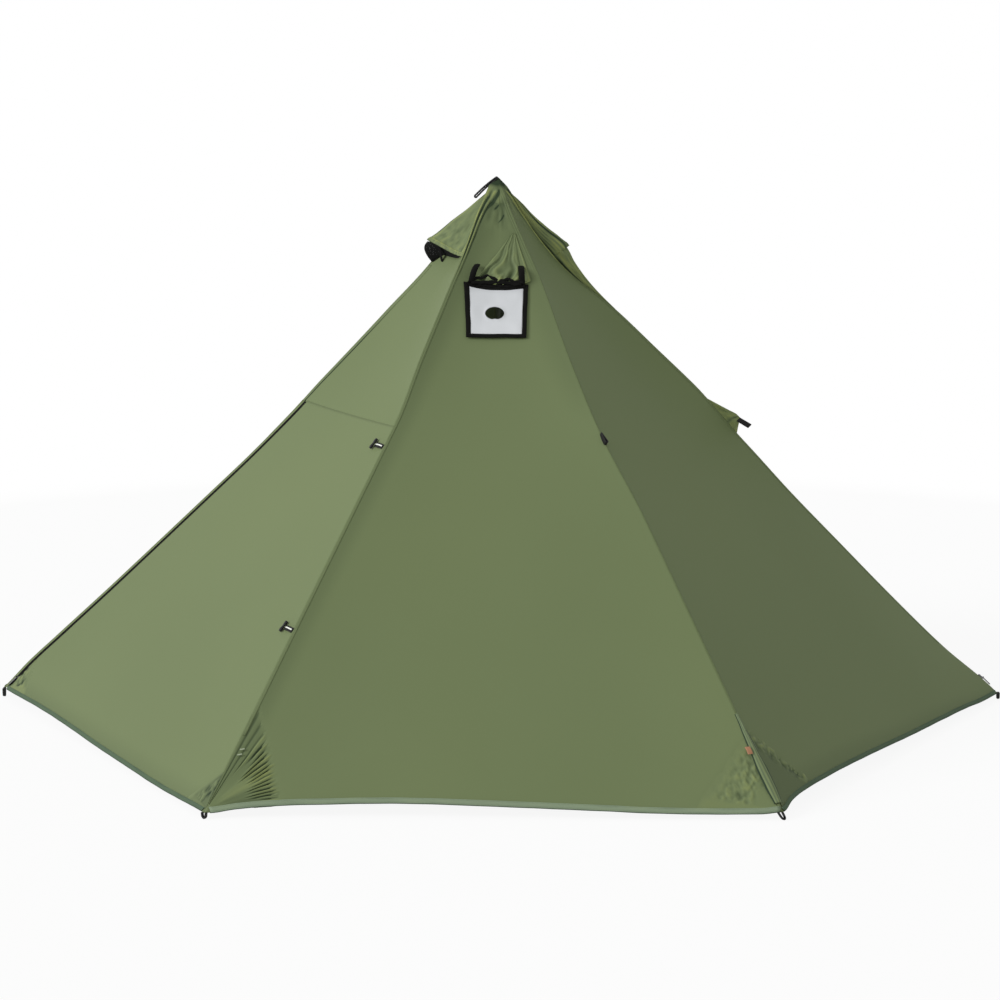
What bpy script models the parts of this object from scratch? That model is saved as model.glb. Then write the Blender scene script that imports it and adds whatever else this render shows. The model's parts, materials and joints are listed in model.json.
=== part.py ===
"""Six-sided one-pole tipi tent with two zipped doors, two vent hoods and a stove-pipe patch.

Units are metres, +Z is up, and the origin is on the ground under the pole. The panel with the
stove-pipe patch faces -Y. The front-left panel and the back-right panel hold the doors, and the tent
looks the same from the front and from the back except for the patch and its rain flap.

Cloth is laid out on a panel's own surface. A place on it has a run, which is the distance from the
hem corner up the ridge, a sideways distance x from the panel's middle line, and a level, which is
the distance outside the panel's outer face. A panel is built facing -Y and turned to its place.
"""

import math

import bmesh
import bpy
from mathutils import Matrix
from mathutils import Vector

# Whole tent
CORNER_RADIUS = 1.600
HEM_CORNER_HEIGHT = 0.030
COLLAR_RADIUS = 0.014
COLLAR_HEIGHT = 1.646
KNEE_BELOW_COLLAR = 0.905
RIDGE_FACETS = 6
RIDGE_SAG = 0.038
HEM_RISE = 0.014
HEM_SHAPE_POWER = 4

# Cloth and clearances
CLOTH = 0.0020
TAPE = 0.0015
WEBBING = 0.0016
GAP = 0.0003
RIDGE_INSET = 0.0003

# Hem tape
HEM_TAPE_WIDTH = 0.019

# Door and zip, measured sideways from the zip's ridge
PLACKET_WIDTH = 0.014
CHAIN_WIDTH = 0.006
CHAIN_HEIGHT = 0.0010
DOOR_EDGE = 0.0240
DOOR_TOP_GAP = 0.0005
HINGE_CLEARANCE = 0.004
CHAIN_FOOT_RUN = 0.012
SLIDER_LENGTH = 0.020
SLIDER_WIDTH = 0.011
SLIDER_HEIGHT = 0.0040
SLIDER_FOOT_RUN = 0.045
SLIDER_STOP_BELOW_DOOR_TOP = 0.020
EAR_HEIGHT = 0.0034
EAR_THICKNESS = 0.0013
EAR_LENGTH = 0.005
PULL_LENGTH = 0.034
PULL_WIDTH = 0.007
PULL_THICKNESS = 0.0015

# Vent hood, its net and its prop
LIP_BELOW_COLLAR = 0.270
HOOD_START_BELOW_COLLAR = 0.040
HOOD_RAISE = 0.052
SILL_DROP = 0.034
SILL_GAP = 0.004
NET_THICKNESS = 0.0010
NET_TUCK = 0.012
PROP_WIDTH = 0.012
PROP_THICKNESS = 0.0020
PROP_SHARE = 0.22
PROP_AHEAD = 0.006
PROP_TOP_GAP = 0.0011

# Stove-pipe patch on the front panel
JACK_WIDTH = 0.186
JACK_HEIGHT = 0.202
JACK_TOP_BELOW_COLLAR = 0.362
JACK_BORDER = 0.014
JACK_OVERLAP = 0.025
BINDING_THICKNESS = 0.0030
FLUE_WIDTH = 0.058
FLUE_HEIGHT = 0.048
FLUE_X = -0.006
FLUE_BELOW_PATCH_MIDDLE = 0.009
FLAP_HEIGHT = 0.185
FLAP_POINT_X = 0.050
FLAP_POINT_WIDTH = 0.012
FLAP_BUNCH = 0.0090
FLAP_PLEATS = 5
FLAP_PLEAT_DEPTH = 0.0030
STRAP_WIDTH = 0.016
STRAP_LENGTH = 0.066
STRAP_ARCH = 0.0170
STRAP_INSET = 0.021
STRAP_LEAN = 0.011

# Corner loops for pegs
PEG_LOOP_TOP_WIDTH = 0.019
PEG_LOOP_FOOT_WIDTH = 0.011
PEG_LOOP_DEPTH = 0.010

# Guy loops and their fins
GUY_RUN = 1.275
GUY_LOOP_ABOVE_FINS = 0.055
GUY_LOOP_LENGTH = 0.042
GUY_LOOP_END_RADIUS = 0.0048
GUY_STRAP_WIDTH = 0.016
GUY_LOOP_LIFT = math.radians(9)
FIN_BASE = 0.160
FIN_HEIGHT = 0.060
FIN_TIP_SHARE = 0.24
FIN_LOOP_LIFT = math.radians(13)

# Door tie-backs
TIE_RUNS = (0.615, 1.290)
TIE_LENGTH = 0.050
TIE_WIDTH = 0.012
TIE_ROOT = 0.004
TOGGLE_LENGTH = 0.036
TOGGLE_RADIUS = 0.0048

# Strip at the foot of the front-right ridge
STRIP_FOOT_RUN = 0.020
STRIP_LENGTH = 0.175
STRIP_WIDTH = 0.030

# Apex
CAP_DEPTH = 0.036
CAP_GAP = 0.0005
TOP_LOOP_LENGTH = 0.080
TOP_LOOP_ROOT_RADIUS = 0.0045
TOP_LOOP_END_RADIUS = 0.0090
TOP_LOOP_STRAP = 0.0034
TOP_LOOP_WIDTH = 0.010
TOP_LOOP_STAND_OFF = 0.0012

# Pole
UPPER_TUBE_RADIUS = 0.0125
LOWER_TUBE_RADIUS = 0.0103
TUBE_WALL = 0.0012
UPPER_TUBE_FOOT = 0.780
TUBE_OVERLAP = 0.150
FOOT_RADIUS = 0.021
FOOT_TOP_RADIUS = 0.015
FOOT_HEIGHT = 0.036
FOOT_SOLE = 0.010
COLLAR_OUTER_RADIUS = 0.0180
COLLAR_LENGTH = 0.050
PLUG_HEAD = 0.010
PLUG_STEM = 0.024
CUP_TOP_BELOW_COLLAR = 0.018
CUP_SKIRT = 0.055
CUP_ROOF = 0.008
RUNNING_GAP = 0.0007

SIDES = 6
HALF_SECTOR = math.pi / SIDES
COS_HALF = math.cos(HALF_SECTOR)
TAN_HALF = math.tan(HALF_SECTOR)
ROUND_SEGMENTS = 20

# Directions in which the panels and the ridges point, counted from -Y
FRONT = 0.0
FRONT_RIGHT = math.radians(60)
BACK_RIGHT = math.radians(120)
BACK = math.radians(180)
BACK_LEFT = math.radians(240)
FRONT_LEFT = math.radians(300)
RIDGE_FRONT_RIGHT = math.radians(30)
RIDGE_RIGHT = math.radians(90)
RIDGE_BACK_RIGHT = math.radians(150)
RIDGE_BACK_LEFT = math.radians(210)
RIDGE_LEFT = math.radians(270)
RIDGE_FRONT_LEFT = math.radians(330)


class RidgeLine:
    """Side line of a ridge: straight from the hem corner to the knee, then short chords of an arc."""

    def __init__(self):
        corner = Vector((CORNER_RADIUS, HEM_CORNER_HEIGHT))
        collar = Vector((COLLAR_RADIUS, COLLAR_HEIGHT))
        chord = (collar - corner).normalized()
        chord_outward = Vector((chord.y, -chord.x))
        knee = collar - chord * KNEE_BELOW_COLLAR - chord_outward * RIDGE_SAG
        self.corner = corner
        self.rise = (knee - corner).normalized()
        self.outward = Vector((self.rise.y, -self.rise.x))
        self.line = (knee - corner).length
        rest = collar - knee
        ahead = rest.dot(self.rise)
        aside = rest.dot(self.outward)
        self.radius = (ahead * ahead + aside * aside) / (2 * aside)
        self.length = self.line + self.radius * 2 * math.atan2(aside, ahead)
        self.step = (self.length - self.line) / RIDGE_FACETS
        self.joints = [self.line + k * self.step for k in range(RIDGE_FACETS + 1)]

    def turn(self, run):
        """Angle by which the ridge has turned from its straight part."""
        return max(0.0, run - self.line) / self.radius

    def arc_point(self, run):
        """Radius and height on the smooth line at a run."""
        angle = self.turn(run)
        straight = min(run, self.line)
        ahead = straight + self.radius * math.sin(angle)
        aside = self.radius * (1 - math.cos(angle))
        return self.corner + self.rise * ahead + self.outward * aside

    def point(self, run):
        """Radius and height of the ridge at a run."""
        if run <= self.line:
            return self.arc_point(run)
        facet = min(int((run - self.line) / self.step), RIDGE_FACETS - 1)
        low = self.joints[facet]
        share = (run - low) / self.step
        return self.arc_point(low).lerp(self.arc_point(low + self.step), share)

    def rows(self, low, high, extra=()):
        """Runs from low to high with every joint of the ridge between them and any extra ones."""
        between = [run for run in self.joints if low + 0.002 < run < high - 0.002]
        return sorted([low, high, *between, *extra])

    def direction(self, run):
        """Unit direction of the ridge, up and towards the pole."""
        angle = self.turn(run)
        return self.rise * math.cos(angle) + self.outward * math.sin(angle)


RIDGE = RidgeLine()
DOOR_TOP = RIDGE.line - 0.004
LIP_RUN = RIDGE.length - LIP_BELOW_COLLAR
HOOD_START_RUN = RIDGE.length - HOOD_START_BELOW_COLLAR
JACK_TOP_RUN = RIDGE.length - JACK_TOP_BELOW_COLLAR
JACK_FOOT_RUN = JACK_TOP_RUN - JACK_HEIGHT


def panel_normal(run):
    """Outward and upward parts of a panel's normal at a run."""
    along = RIDGE.direction(run)
    slope = Vector((along.x * COS_HALF, along.y)).normalized()
    return Vector((slope.y, -slope.x))


def panel_slope(run):
    """Direction up the middle of a panel that faces -Y."""
    normal = panel_normal(run)
    return Vector((0.0, normal.y, normal.x))


def half_width(run, level=0.0):
    """Sideways distance from a panel's middle line to its ridge planes."""
    return (RIDGE.point(run).x * COS_HALF + level * panel_normal(run).x) * TAN_HALF


def panel_point(run, x, level=0.0):
    """Place on or over a panel that faces -Y."""
    ridge = RIDGE.point(run)
    normal = panel_normal(run)
    return Vector((x, -(ridge.x * COS_HALF + level * normal.x), ridge.y + level * normal.y))


def hem_run(share):
    """Run of the hem's edge at a sideways share from -1 to 1 of the panel's half width."""
    return HEM_RISE * (1 - abs(share) ** HEM_SHAPE_POWER)


def steps(low, high, count):
    """Evenly spaced values from low to high."""
    return [low + (high - low) * k / count for k in range(count + 1)]


def make_material(name, colour, roughness, metallic=0.0):
    """Principled material in one colour."""
    material = bpy.data.materials.new(name)
    material.use_nodes = True
    shader = material.node_tree.nodes["Principled BSDF"]
    shader.inputs["Base Color"].default_value = (*colour, 1.0)
    shader.inputs["Roughness"].default_value = roughness
    shader.inputs["Metallic"].default_value = metallic
    return material


def face_outward(bm):
    """Turn all faces of a closed mesh outward."""
    bmesh.ops.recalc_face_normals(bm, faces=bm.faces[:])
    if bm.calc_volume(signed=True) < 0:
        bmesh.ops.reverse_faces(bm, faces=bm.faces[:])


def add_object(name, bm, material, facing=0.0, pivot=Vector((0, 0, 0)), smooth=False):
    """Turn a mesh that is built facing -Y to its direction, with its origin at the pivot."""
    face_outward(bm)
    bmesh.ops.translate(bm, verts=bm.verts[:], vec=-pivot)
    mesh = bpy.data.meshes.new(name)
    bm.to_mesh(mesh)
    bm.free()
    mesh.materials.append(material)
    if smooth:
        mesh.shade_smooth()
        mesh.set_sharp_from_angle(angle=math.radians(35))
    item = bpy.data.objects.new(name, mesh)
    item.rotation_euler = (0.0, 0.0, facing)
    item.location = Matrix.Rotation(facing, 3, "Z") @ pivot
    bpy.data.collections["tipi_tent"].objects.link(item)
    return item


def cloth(name, material, facing, columns, rows, place, keep=None, pivot=Vector((0, 0, 0))):
    """Closed sheet from a grid: place(column, row, side) gives each corner, side 0 in and 1 out."""
    bm = bmesh.new()
    bmesh.ops.create_grid(bm, x_segments=columns, y_segments=rows, size=0.5)
    if keep:
        dropped = [f for f in bm.faces if not keep(*cell_of(f, columns, rows))]
        bmesh.ops.delete(bm, geom=dropped, context="FACES")
    extruded = bmesh.ops.extrude_face_region(bm, geom=bm.faces[:])
    outer = [item for item in extruded["geom"] if isinstance(item, bmesh.types.BMVert)]
    bmesh.ops.translate(bm, verts=outer, vec=(0, 0, 1))
    for vert in bm.verts:
        column = round((vert.co.x + 0.5) * columns)
        row = round((vert.co.y + 0.5) * rows)
        vert.co = place(column, row, round(vert.co.z))
    return add_object(name, bm, material, facing, pivot)


def cell_of(face, columns, rows):
    """Column and row of a grid face."""
    middle = face.calc_center_median()
    return math.floor((middle.x + 0.5) * columns), math.floor((middle.y + 0.5) * rows)


def outline_solid(name, material, outlines, thickness, frame, facing=0.0, pivot=Vector((0, 0, 0))):
    """Flat outline, with any holes, given a thickness and laid in a frame; its plane is local XY."""
    curve = bpy.data.curves.new(name + "_outline", "CURVE")
    curve.dimensions = "2D"
    curve.fill_mode = "BOTH"
    curve.extrude = thickness / 2
    for outline in outlines:
        spline = curve.splines.new("POLY")
        spline.points.add(len(outline) - 1)
        for point, (x, y) in zip(spline.points, outline):
            point.co = (x, y, 0.0, 1.0)
        spline.use_cyclic_u = True
    guide = bpy.data.objects.new(name + "_outline", curve)
    bpy.data.collections["guides"].objects.link(guide)
    evaluated = guide.evaluated_get(bpy.context.evaluated_depsgraph_get())
    mesh = bpy.data.meshes.new_from_object(evaluated)
    bm = bmesh.new()
    bm.from_mesh(mesh)
    bmesh.ops.remove_doubles(bm, verts=bm.verts[:], dist=0.00001)
    bmesh.ops.transform(bm, matrix=frame, verts=bm.verts[:])
    bpy.data.objects.remove(guide)
    bpy.data.curves.remove(curve)
    bpy.data.meshes.remove(mesh)
    return add_object(name, bm, material, facing, pivot)


def frame_from(origin, x_axis, y_axis):
    """Matrix whose local X and Y point along the given directions."""
    x_axis = x_axis.normalized()
    z_axis = x_axis.cross(y_axis).normalized()
    y_axis = z_axis.cross(x_axis)
    rotation = Matrix((x_axis, y_axis, z_axis)).transposed().to_4x4()
    return Matrix.Translation(origin) @ rotation


def teardrop(start, start_radius, end, end_radius, arc_steps=6):
    """Outline round two circles on the local X axis."""
    lean = math.asin((end_radius - start_radius) / (end - start))
    quarter = math.pi / 2 + lean
    outline = []
    for angle in steps(-quarter, quarter, arc_steps):
        outline.append((end + end_radius * math.cos(angle), end_radius * math.sin(angle)))
    for angle in steps(quarter, 2 * math.pi - quarter, arc_steps):
        outline.append((start + start_radius * math.cos(angle), start_radius * math.sin(angle)))
    return outline


def turned(name, material, profile):
    """Round solid on the pole's axis; the profile runs down its outer side from the top."""
    bm = bmesh.new()
    corners = [bm.verts.new((radius, 0.0, z)) for radius, z in profile]
    ends = zip(corners, corners[1:])
    if profile[0][0] > 0:
        ends = zip(corners, corners[1:] + corners[:1])
    for first, second in ends:
        bm.edges.new((first, second))
    mesh = bpy.data.meshes.new(name)
    bm.to_mesh(mesh)
    bm.free()
    mesh.materials.append(material)
    item = bpy.data.objects.new(name, mesh)
    bpy.data.collections["tipi_tent"].objects.link(item)
    screw = item.modifiers.new("turn", "SCREW")
    screw.steps = ROUND_SEGMENTS
    screw.render_steps = ROUND_SEGMENTS
    screw.use_merge_vertices = True
    screw.merge_threshold = 0.00001
    screw.use_smooth_shade = True
    return item


def tube(name, material, radius, wall, foot, top):
    """Plain round tube."""
    profile = [(radius, top), (radius, foot), (radius - wall, foot), (radius - wall, top)]
    return turned(name, material, profile)


def cylinder_between(first, second, radius, segments):
    """Closed cylinder mesh with its ends at two points."""
    bm = bmesh.new()
    axis = second - first
    turn = axis.to_track_quat("Z", "Y").to_matrix().to_4x4()
    matrix = Matrix.Translation((first + second) / 2) @ turn
    bmesh.ops.create_cone(
        bm,
        cap_ends=True,
        segments=segments,
        radius1=radius,
        radius2=radius,
        depth=axis.length,
        matrix=matrix,
    )
    return bm


def subtract(item, cutter):
    """Cut one object out of another and keep the cutter hidden."""
    cutter.hide_render = True
    cutter.display_type = "WIRE"
    cut = item.modifiers.new("cut", "BOOLEAN")
    cut.operation = "DIFFERENCE"
    cut.object = cutter


def unite(item, other):
    """Join another object's shape to an object and keep the other hidden."""
    other.hide_render = True
    other.display_type = "WIRE"
    join = item.modifiers.new("join", "BOOLEAN")
    join.operation = "UNION"
    join.object = other


def add_guide(name, bm, facing=0.0, pivot=Vector((0, 0, 0))):
    """Hidden object that cuts or joins another."""
    face_outward(bm)
    bmesh.ops.translate(bm, verts=bm.verts[:], vec=-pivot)
    mesh = bpy.data.meshes.new(name)
    bm.to_mesh(mesh)
    bm.free()
    item = bpy.data.objects.new(name, mesh)
    item.rotation_euler = (0.0, 0.0, facing)
    item.location = Matrix.Rotation(facing, 3, "Z") @ pivot
    bpy.data.collections["guides"].objects.link(item)
    return item


def box_on_panel(run_low, run_high, x_low, x_high, level_low, level_high):
    """Box whose faces follow a panel that faces -Y."""
    bm = bmesh.new()
    bmesh.ops.create_cube(bm, size=1.0)
    for vert in bm.verts:
        run = run_high if vert.co.z > 0 else run_low
        x = x_high if vert.co.x > 0 else x_low
        level = level_high if vert.co.y > 0 else level_low
        vert.co = panel_point(run, x, level)
    return bm


def panel_columns(run, level):
    """Sideways places of a whole panel's cloth, with two of them on the sides of the jack window."""
    edge = half_width(run, level) - RIDGE_INSET
    inner = min(JACK_WIDTH / 2 - JACK_OVERLAP, edge / 2)
    return steps(-edge, -inner, 3) + steps(inner, edge, 3)


def full_panel(name, material, facing, with_window):
    """Whole fixed panel from hem to collar, with a window behind the stove-pipe patch if asked."""
    window_foot = JACK_FOOT_RUN + JACK_OVERLAP
    window_top = JACK_TOP_RUN - JACK_OVERLAP
    runs = steps(0.0, RIDGE.line, 4)[:-1] + RIDGE.rows(RIDGE.line, RIDGE.length, (window_foot, window_top))
    columns = 7

    def place(column, row, side):
        level = (side - 1) * CLOTH
        run = runs[row]
        x = panel_columns(run, level)[column]
        if row == 0:
            run = hem_run(x / half_width(run, level))
            x = panel_columns(run, level)[column]
        return panel_point(run, x, level)

    def keep(column, row):
        behind_patch = window_foot - GAP < runs[row] < window_top - GAP
        return not (with_window and behind_patch and column == columns // 2)

    return cloth(name, material, facing, columns, len(runs) - 1, place, keep)


def sill_run(share):
    """Run of the cloth's top edge under the hood, at a sideways share from -1 to 1."""
    return LIP_RUN + SILL_DROP * min(share, 0.0)


def door_side_panel(name, material, facing):
    """Fixed part of a door side: the cloth over the door and the strip that carries the zip."""
    runs = steps(0.0, DOOR_TOP, 4)
    door_rows = len(runs) - 1
    runs += RIDGE.rows(DOOR_TOP, LIP_RUN - SILL_DROP - SILL_GAP)[1:] + [LIP_RUN]
    columns = 5

    def place(column, row, side):
        level = (side - 1) * CLOTH
        run = runs[row]
        edge = half_width(run, level) - RIDGE_INSET
        strip = half_width(run, level) - PLACKET_WIDTH
        x = [-edge, -strip, -strip / 2, 0.0, edge / 2, edge][column]
        share = x / half_width(run, level)
        if row == 0:
            run = hem_run(share)
        if row == len(runs) - 1:
            run = sill_run(share)
        return panel_point(run, x, level)

    def keep(column, row):
        return column == 0 or row >= door_rows

    return cloth(name, material, facing, columns, len(runs) - 1, place, keep)


def door_edges(run, level):
    """Sideways places of the door's zip edge and hinge edge."""
    half = half_width(run, level)
    return -(half - DOOR_EDGE), half - RIDGE_INSET


def door_pivot():
    """Foot of the door's hinge ridge."""
    return panel_point(0.0, half_width(0.0))


def door_panel(name, material, facing):
    """Door leaf below the fixed cloth; its origin is at the foot of its hinge ridge."""
    runs = steps(0.0, DOOR_TOP - DOOR_TOP_GAP, 4)
    columns = 6

    def place(column, row, side):
        level = (side - 1) * CLOTH
        run = runs[row]
        left, right = door_edges(run, level)
        x = left + (right - left) * column / columns
        if row == 0:
            run = hem_run(x / half_width(run, level))
        return panel_point(run, x, level)

    return cloth(name, material, facing, columns, len(runs) - 1, place, pivot=door_pivot())


def hem_tape(name, material, facing, left_inset=RIDGE_INSET, right_inset=RIDGE_INSET, pivot=Vector((0, 0, 0))):
    """Tape over the hem's edge, which stops short of a hinge ridge."""
    columns = 10

    def place(column, row, side):
        level = GAP + side * TAPE
        half = half_width(0.0, level)
        share = -1 + left_inset / half + (2 - (left_inset + right_inset) / half) * column / columns
        run = hem_run(share) + row * HEM_TAPE_WIDTH
        edge = half_width(run, level)
        if column == 0:
            return panel_point(run, left_inset - edge, level)
        if column == columns:
            return panel_point(run, edge - right_inset, level)
        return panel_point(run, edge * share, level)

    return cloth(name, material, facing, columns, 1, place, pivot=pivot)


def hood_raise(run):
    """How far the hood's free edge stands off the panel."""
    return HOOD_RAISE * max(0.0, HOOD_START_RUN - run) / (HOOD_START_RUN - LIP_RUN)


def hood_edges(run, level=0.0):
    """Sideways places of the hood's raised edge and of its edge at the door's hinge ridge."""
    return RIDGE_INSET - half_width(run, level + hood_raise(run)), half_width(run, level) - RIDGE_INSET


def hood_level(run, x):
    """Level of the hood's outer face."""
    left, right = hood_edges(run)
    return hood_raise(run) * (right - x) / (right - left)


def hood(name, material, facing):
    """Vent hood in place of the panel's top, lifted at the zip's ridge and closed there by a side."""
    runs = RIDGE.rows(LIP_RUN + SILL_GAP, RIDGE.length, (HOOD_START_RUN,))
    top_columns = 3
    columns = top_columns + 1

    def place(column, row, side):
        run = runs[row]
        inner = (1 - side) * CLOTH
        if column == columns:
            return panel_point(run, RIDGE_INSET + inner - half_width(run, -CLOTH), -CLOTH)
        left, right = hood_edges(run, -inner)
        share = column / top_columns
        return panel_point(run, right + (left + inner - right) * share, hood_raise(run) * share - inner)

    return cloth(name, material, facing, columns, len(runs) - 1, place)


def vent_net(name, material, facing):
    """Net across the hood's mouth, from the sill of the panel up to the hood."""
    columns = 4
    top_run = LIP_RUN + NET_TUCK
    tilt = NET_THICKNESS * math.sqrt(0.5)
    margin = CLOTH + 5 * GAP

    def place(column, row, side):
        share = 2 * column / columns - 1
        level = -CLOTH - GAP - side * tilt
        if row == 0:
            run = sill_run(share) + GAP + side * tilt
            return panel_point(run, (half_width(run, level) - margin) * share, level)
        run = top_run + side * tilt
        left, right = hood_edges(run, -CLOTH)
        middle = (left + right) / 2
        x = middle + ((right - left) / 2 - margin) * share
        return panel_point(run, x, level - GAP + hood_level(run, x))

    return cloth(name, material, facing, columns, 1, place)


def prop_corner(column, row, side):
    """Corner of the hood's prop: row 0 stands on the sill and row 1 is sewn under the hood's lip."""
    share = 2 * PROP_SHARE - 1
    foot_run = sill_run(share) - PROP_AHEAD - PROP_THICKNESS
    x = half_width(foot_run) * share + (column - 0.5) * PROP_WIDTH
    run = (LIP_RUN + SILL_GAP + GAP if row else foot_run) + (1 - side) * PROP_THICKNESS
    level = hood_level(run, x) - CLOTH - PROP_TOP_GAP if row else GAP
    return panel_point(run, x, level)


def vent_prop(name, material, facing):
    """Stiff strip that holds the hood's lip up; it swings outward from the lip."""
    return cloth(name, material, facing, 1, 1, prop_corner, pivot=prop_corner(0.5, 1, 1))


def chain_middle(run, level=0.0):
    """Place on the middle line of the zip's chain."""
    return panel_point(run, -(half_width(run, level) - PLACKET_WIDTH - GAP - CHAIN_WIDTH / 2), level)


def zip_chain(name, material, facing):
    """Zip chain and tape beside the strip that carries it."""
    runs = [CHAIN_FOOT_RUN, DOOR_TOP - DOOR_TOP_GAP]

    def place(column, row, side):
        level = CHAIN_HEIGHT if side else -CLOTH
        run = runs[row]
        left = -(half_width(run, level) - PLACKET_WIDTH - GAP)
        return panel_point(run, left + column * CHAIN_WIDTH, level)

    return cloth(name, material, facing, 1, 1, place)


def slider_frame():
    """Frame on the zip at the slider's lower end: X sideways, Y up the zip, Z out."""
    origin = chain_middle(SLIDER_FOOT_RUN, CHAIN_HEIGHT + GAP)
    ahead = chain_middle(SLIDER_FOOT_RUN + 1.0, CHAIN_HEIGHT + GAP) - origin
    normal = panel_normal(0.0)
    outward = Vector((0.0, -normal.x, normal.y))
    sideways = ahead.cross(outward)
    return frame_from(origin, sideways, ahead)


def zip_slider(name, material, facing):
    """Slider that rides on the chain, with two ears for the pull's pivot."""
    frame = slider_frame()
    middle = Vector((0.0, SLIDER_LENGTH / 2, SLIDER_HEIGHT / 2))
    size = (SLIDER_WIDTH, SLIDER_LENGTH, SLIDER_HEIGHT, 1)
    bm = bmesh.new()
    bmesh.ops.create_cube(bm, size=1.0, matrix=frame @ Matrix.Translation(middle) @ Matrix.Diagonal(size))
    corners = [e for e in bm.edges if abs((e.verts[0].co - e.verts[1].co).length - SLIDER_HEIGHT) < GAP]
    bmesh.ops.bevel(bm, geom=corners, offset=0.003, segments=2, profile=0.5, affect="EDGES")
    slider = add_object(name, bm, material, facing, pivot=frame.translation)
    for side in (-1, 1):
        x = side * (PULL_WIDTH / 2 + GAP + EAR_THICKNESS / 2)
        ear_middle = Vector((x, EAR_LENGTH / 2 + 0.001, SLIDER_HEIGHT + EAR_HEIGHT / 2 - 0.0005))
        ear_size = (EAR_THICKNESS, EAR_LENGTH, EAR_HEIGHT + 0.001, 1)
        ear = bmesh.new()
        matrix = frame @ Matrix.Translation(ear_middle) @ Matrix.Diagonal(ear_size)
        bmesh.ops.create_cube(ear, size=1.0, matrix=matrix)
        unite(slider, add_guide(f"{name}_ear_{side}", ear, facing, frame.translation))
    return slider


def pull_pivot():
    """Pivot of the pull between the slider's ears."""
    height = SLIDER_HEIGHT + PULL_THICKNESS / 2 + 2 * GAP
    return slider_frame() @ Vector((0.0, EAR_LENGTH / 2 + 0.001, height))


def zip_pull(name, material, facing):
    """Pull that lies down the zip from its pivot."""
    frame = slider_frame()
    pivot = pull_pivot()
    down = -frame.col[1].to_3d()
    side = frame.col[0].to_3d()
    plate = frame_from(pivot, down, side)
    root = PULL_THICKNESS / 2
    half = PULL_WIDTH / 2
    corner = 0.002
    outline = [
        (-root, -half),
        (PULL_LENGTH - corner, -half),
        (PULL_LENGTH, -half + corner),
        (PULL_LENGTH, half - corner),
        (PULL_LENGTH - corner, half),
        (-root, half),
    ]
    return outline_solid(name, material, [outline], PULL_THICKNESS, plate, facing, pivot)


def jack_patch(name, material):
    """Heat-proof patch with its oval hole for the flue."""
    border = JACK_BORDER + GAP
    runs = steps(JACK_FOOT_RUN + border, JACK_TOP_RUN - border, 2)
    half = JACK_WIDTH / 2 - border

    def place(column, row, side):
        return panel_point(runs[row], steps(-half, half, 2)[column], GAP + side * CLOTH)

    patch = cloth(name, material, FRONT, 2, 2, place)
    middle_run = (JACK_FOOT_RUN + JACK_TOP_RUN) / 2 - FLUE_BELOW_PATCH_MIDDLE
    inside = panel_point(middle_run, FLUE_X, -4 * CLOTH)
    outside = panel_point(middle_run, FLUE_X, 6 * CLOTH)
    hole = cylinder_between(inside, outside, FLUE_WIDTH / 2, 24)
    squash = FLUE_HEIGHT / FLUE_WIDTH
    up = panel_slope(middle_run)
    for vert in hole.verts:
        rise = (vert.co - inside).dot(up)
        vert.co += up * rise * (squash - 1)
    subtract(patch, add_guide("flue_cutter", hole))
    return patch


def jack_binding(name, material):
    """Bound edge all round the patch."""
    runs = [JACK_FOOT_RUN, JACK_FOOT_RUN + JACK_BORDER, JACK_TOP_RUN - JACK_BORDER, JACK_TOP_RUN]
    outer = JACK_WIDTH / 2
    across = [-outer, -outer + JACK_BORDER, outer - JACK_BORDER, outer]

    def place(column, row, side):
        return panel_point(runs[row], across[column], GAP + side * BINDING_THICKNESS)

    def keep(column, row):
        return (column, row) != (1, 1)

    return cloth(name, material, FRONT, 3, 3, place, keep)


def arch(run):
    """Share from 0 to 1 of the height of the bunched flap and its straps at a run."""
    share = (run - JACK_TOP_RUN - GAP) / STRAP_LENGTH
    return math.sin(math.pi * min(max(share, 0.0), 1.0))


def jack_flap(name, material):
    """Rain flap, folded up above the patch in pleats that fan out from its point."""
    runs = steps(JACK_TOP_RUN + 0.004, JACK_TOP_RUN + STRAP_LENGTH, 6)
    runs += steps(JACK_TOP_RUN + STRAP_LENGTH, JACK_TOP_RUN + FLAP_HEIGHT, 3)[1:]
    columns = 4 * FLAP_PLEATS
    half = JACK_WIDTH / 2 - JACK_BORDER

    def place(column, row, side):
        run = runs[row]
        share = column / columns
        rise = (run - JACK_TOP_RUN) / FLAP_HEIGHT
        left = -half + (FLAP_POINT_X + half - FLAP_POINT_WIDTH / 2) * rise
        right = half + (FLAP_POINT_X - half + FLAP_POINT_WIDTH / 2) * rise
        pleat = 0.5 - 0.5 * math.cos(2 * math.pi * FLAP_PLEATS * share)
        level = GAP
        if side:
            level += CLOTH + FLAP_BUNCH * arch(run) + FLAP_PLEAT_DEPTH * pleat * arch(run)
        return panel_point(run, left + (right - left) * share, level)

    return cloth(name, material, FRONT, columns, len(runs) - 1, place)


def jack_strap(name, material, x_foot, x_top):
    """Strap that holds the bunched flap; its origin is on the outer edge of its sewn lower end."""
    rows = 8
    runs = steps(JACK_TOP_RUN + GAP, JACK_TOP_RUN + STRAP_LENGTH, rows)
    base = 2 * GAP + CLOTH

    def place(column, row, side):
        run = runs[row]
        x = x_foot + (x_top - x_foot) * row / rows + (column - 0.5) * STRAP_WIDTH
        return panel_point(run, x, base + STRAP_ARCH * arch(run) + side * WEBBING)

    pivot = panel_point(runs[0], x_foot, base + WEBBING)
    return cloth(name, material, FRONT, 1, rows, place, pivot=pivot)


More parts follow.
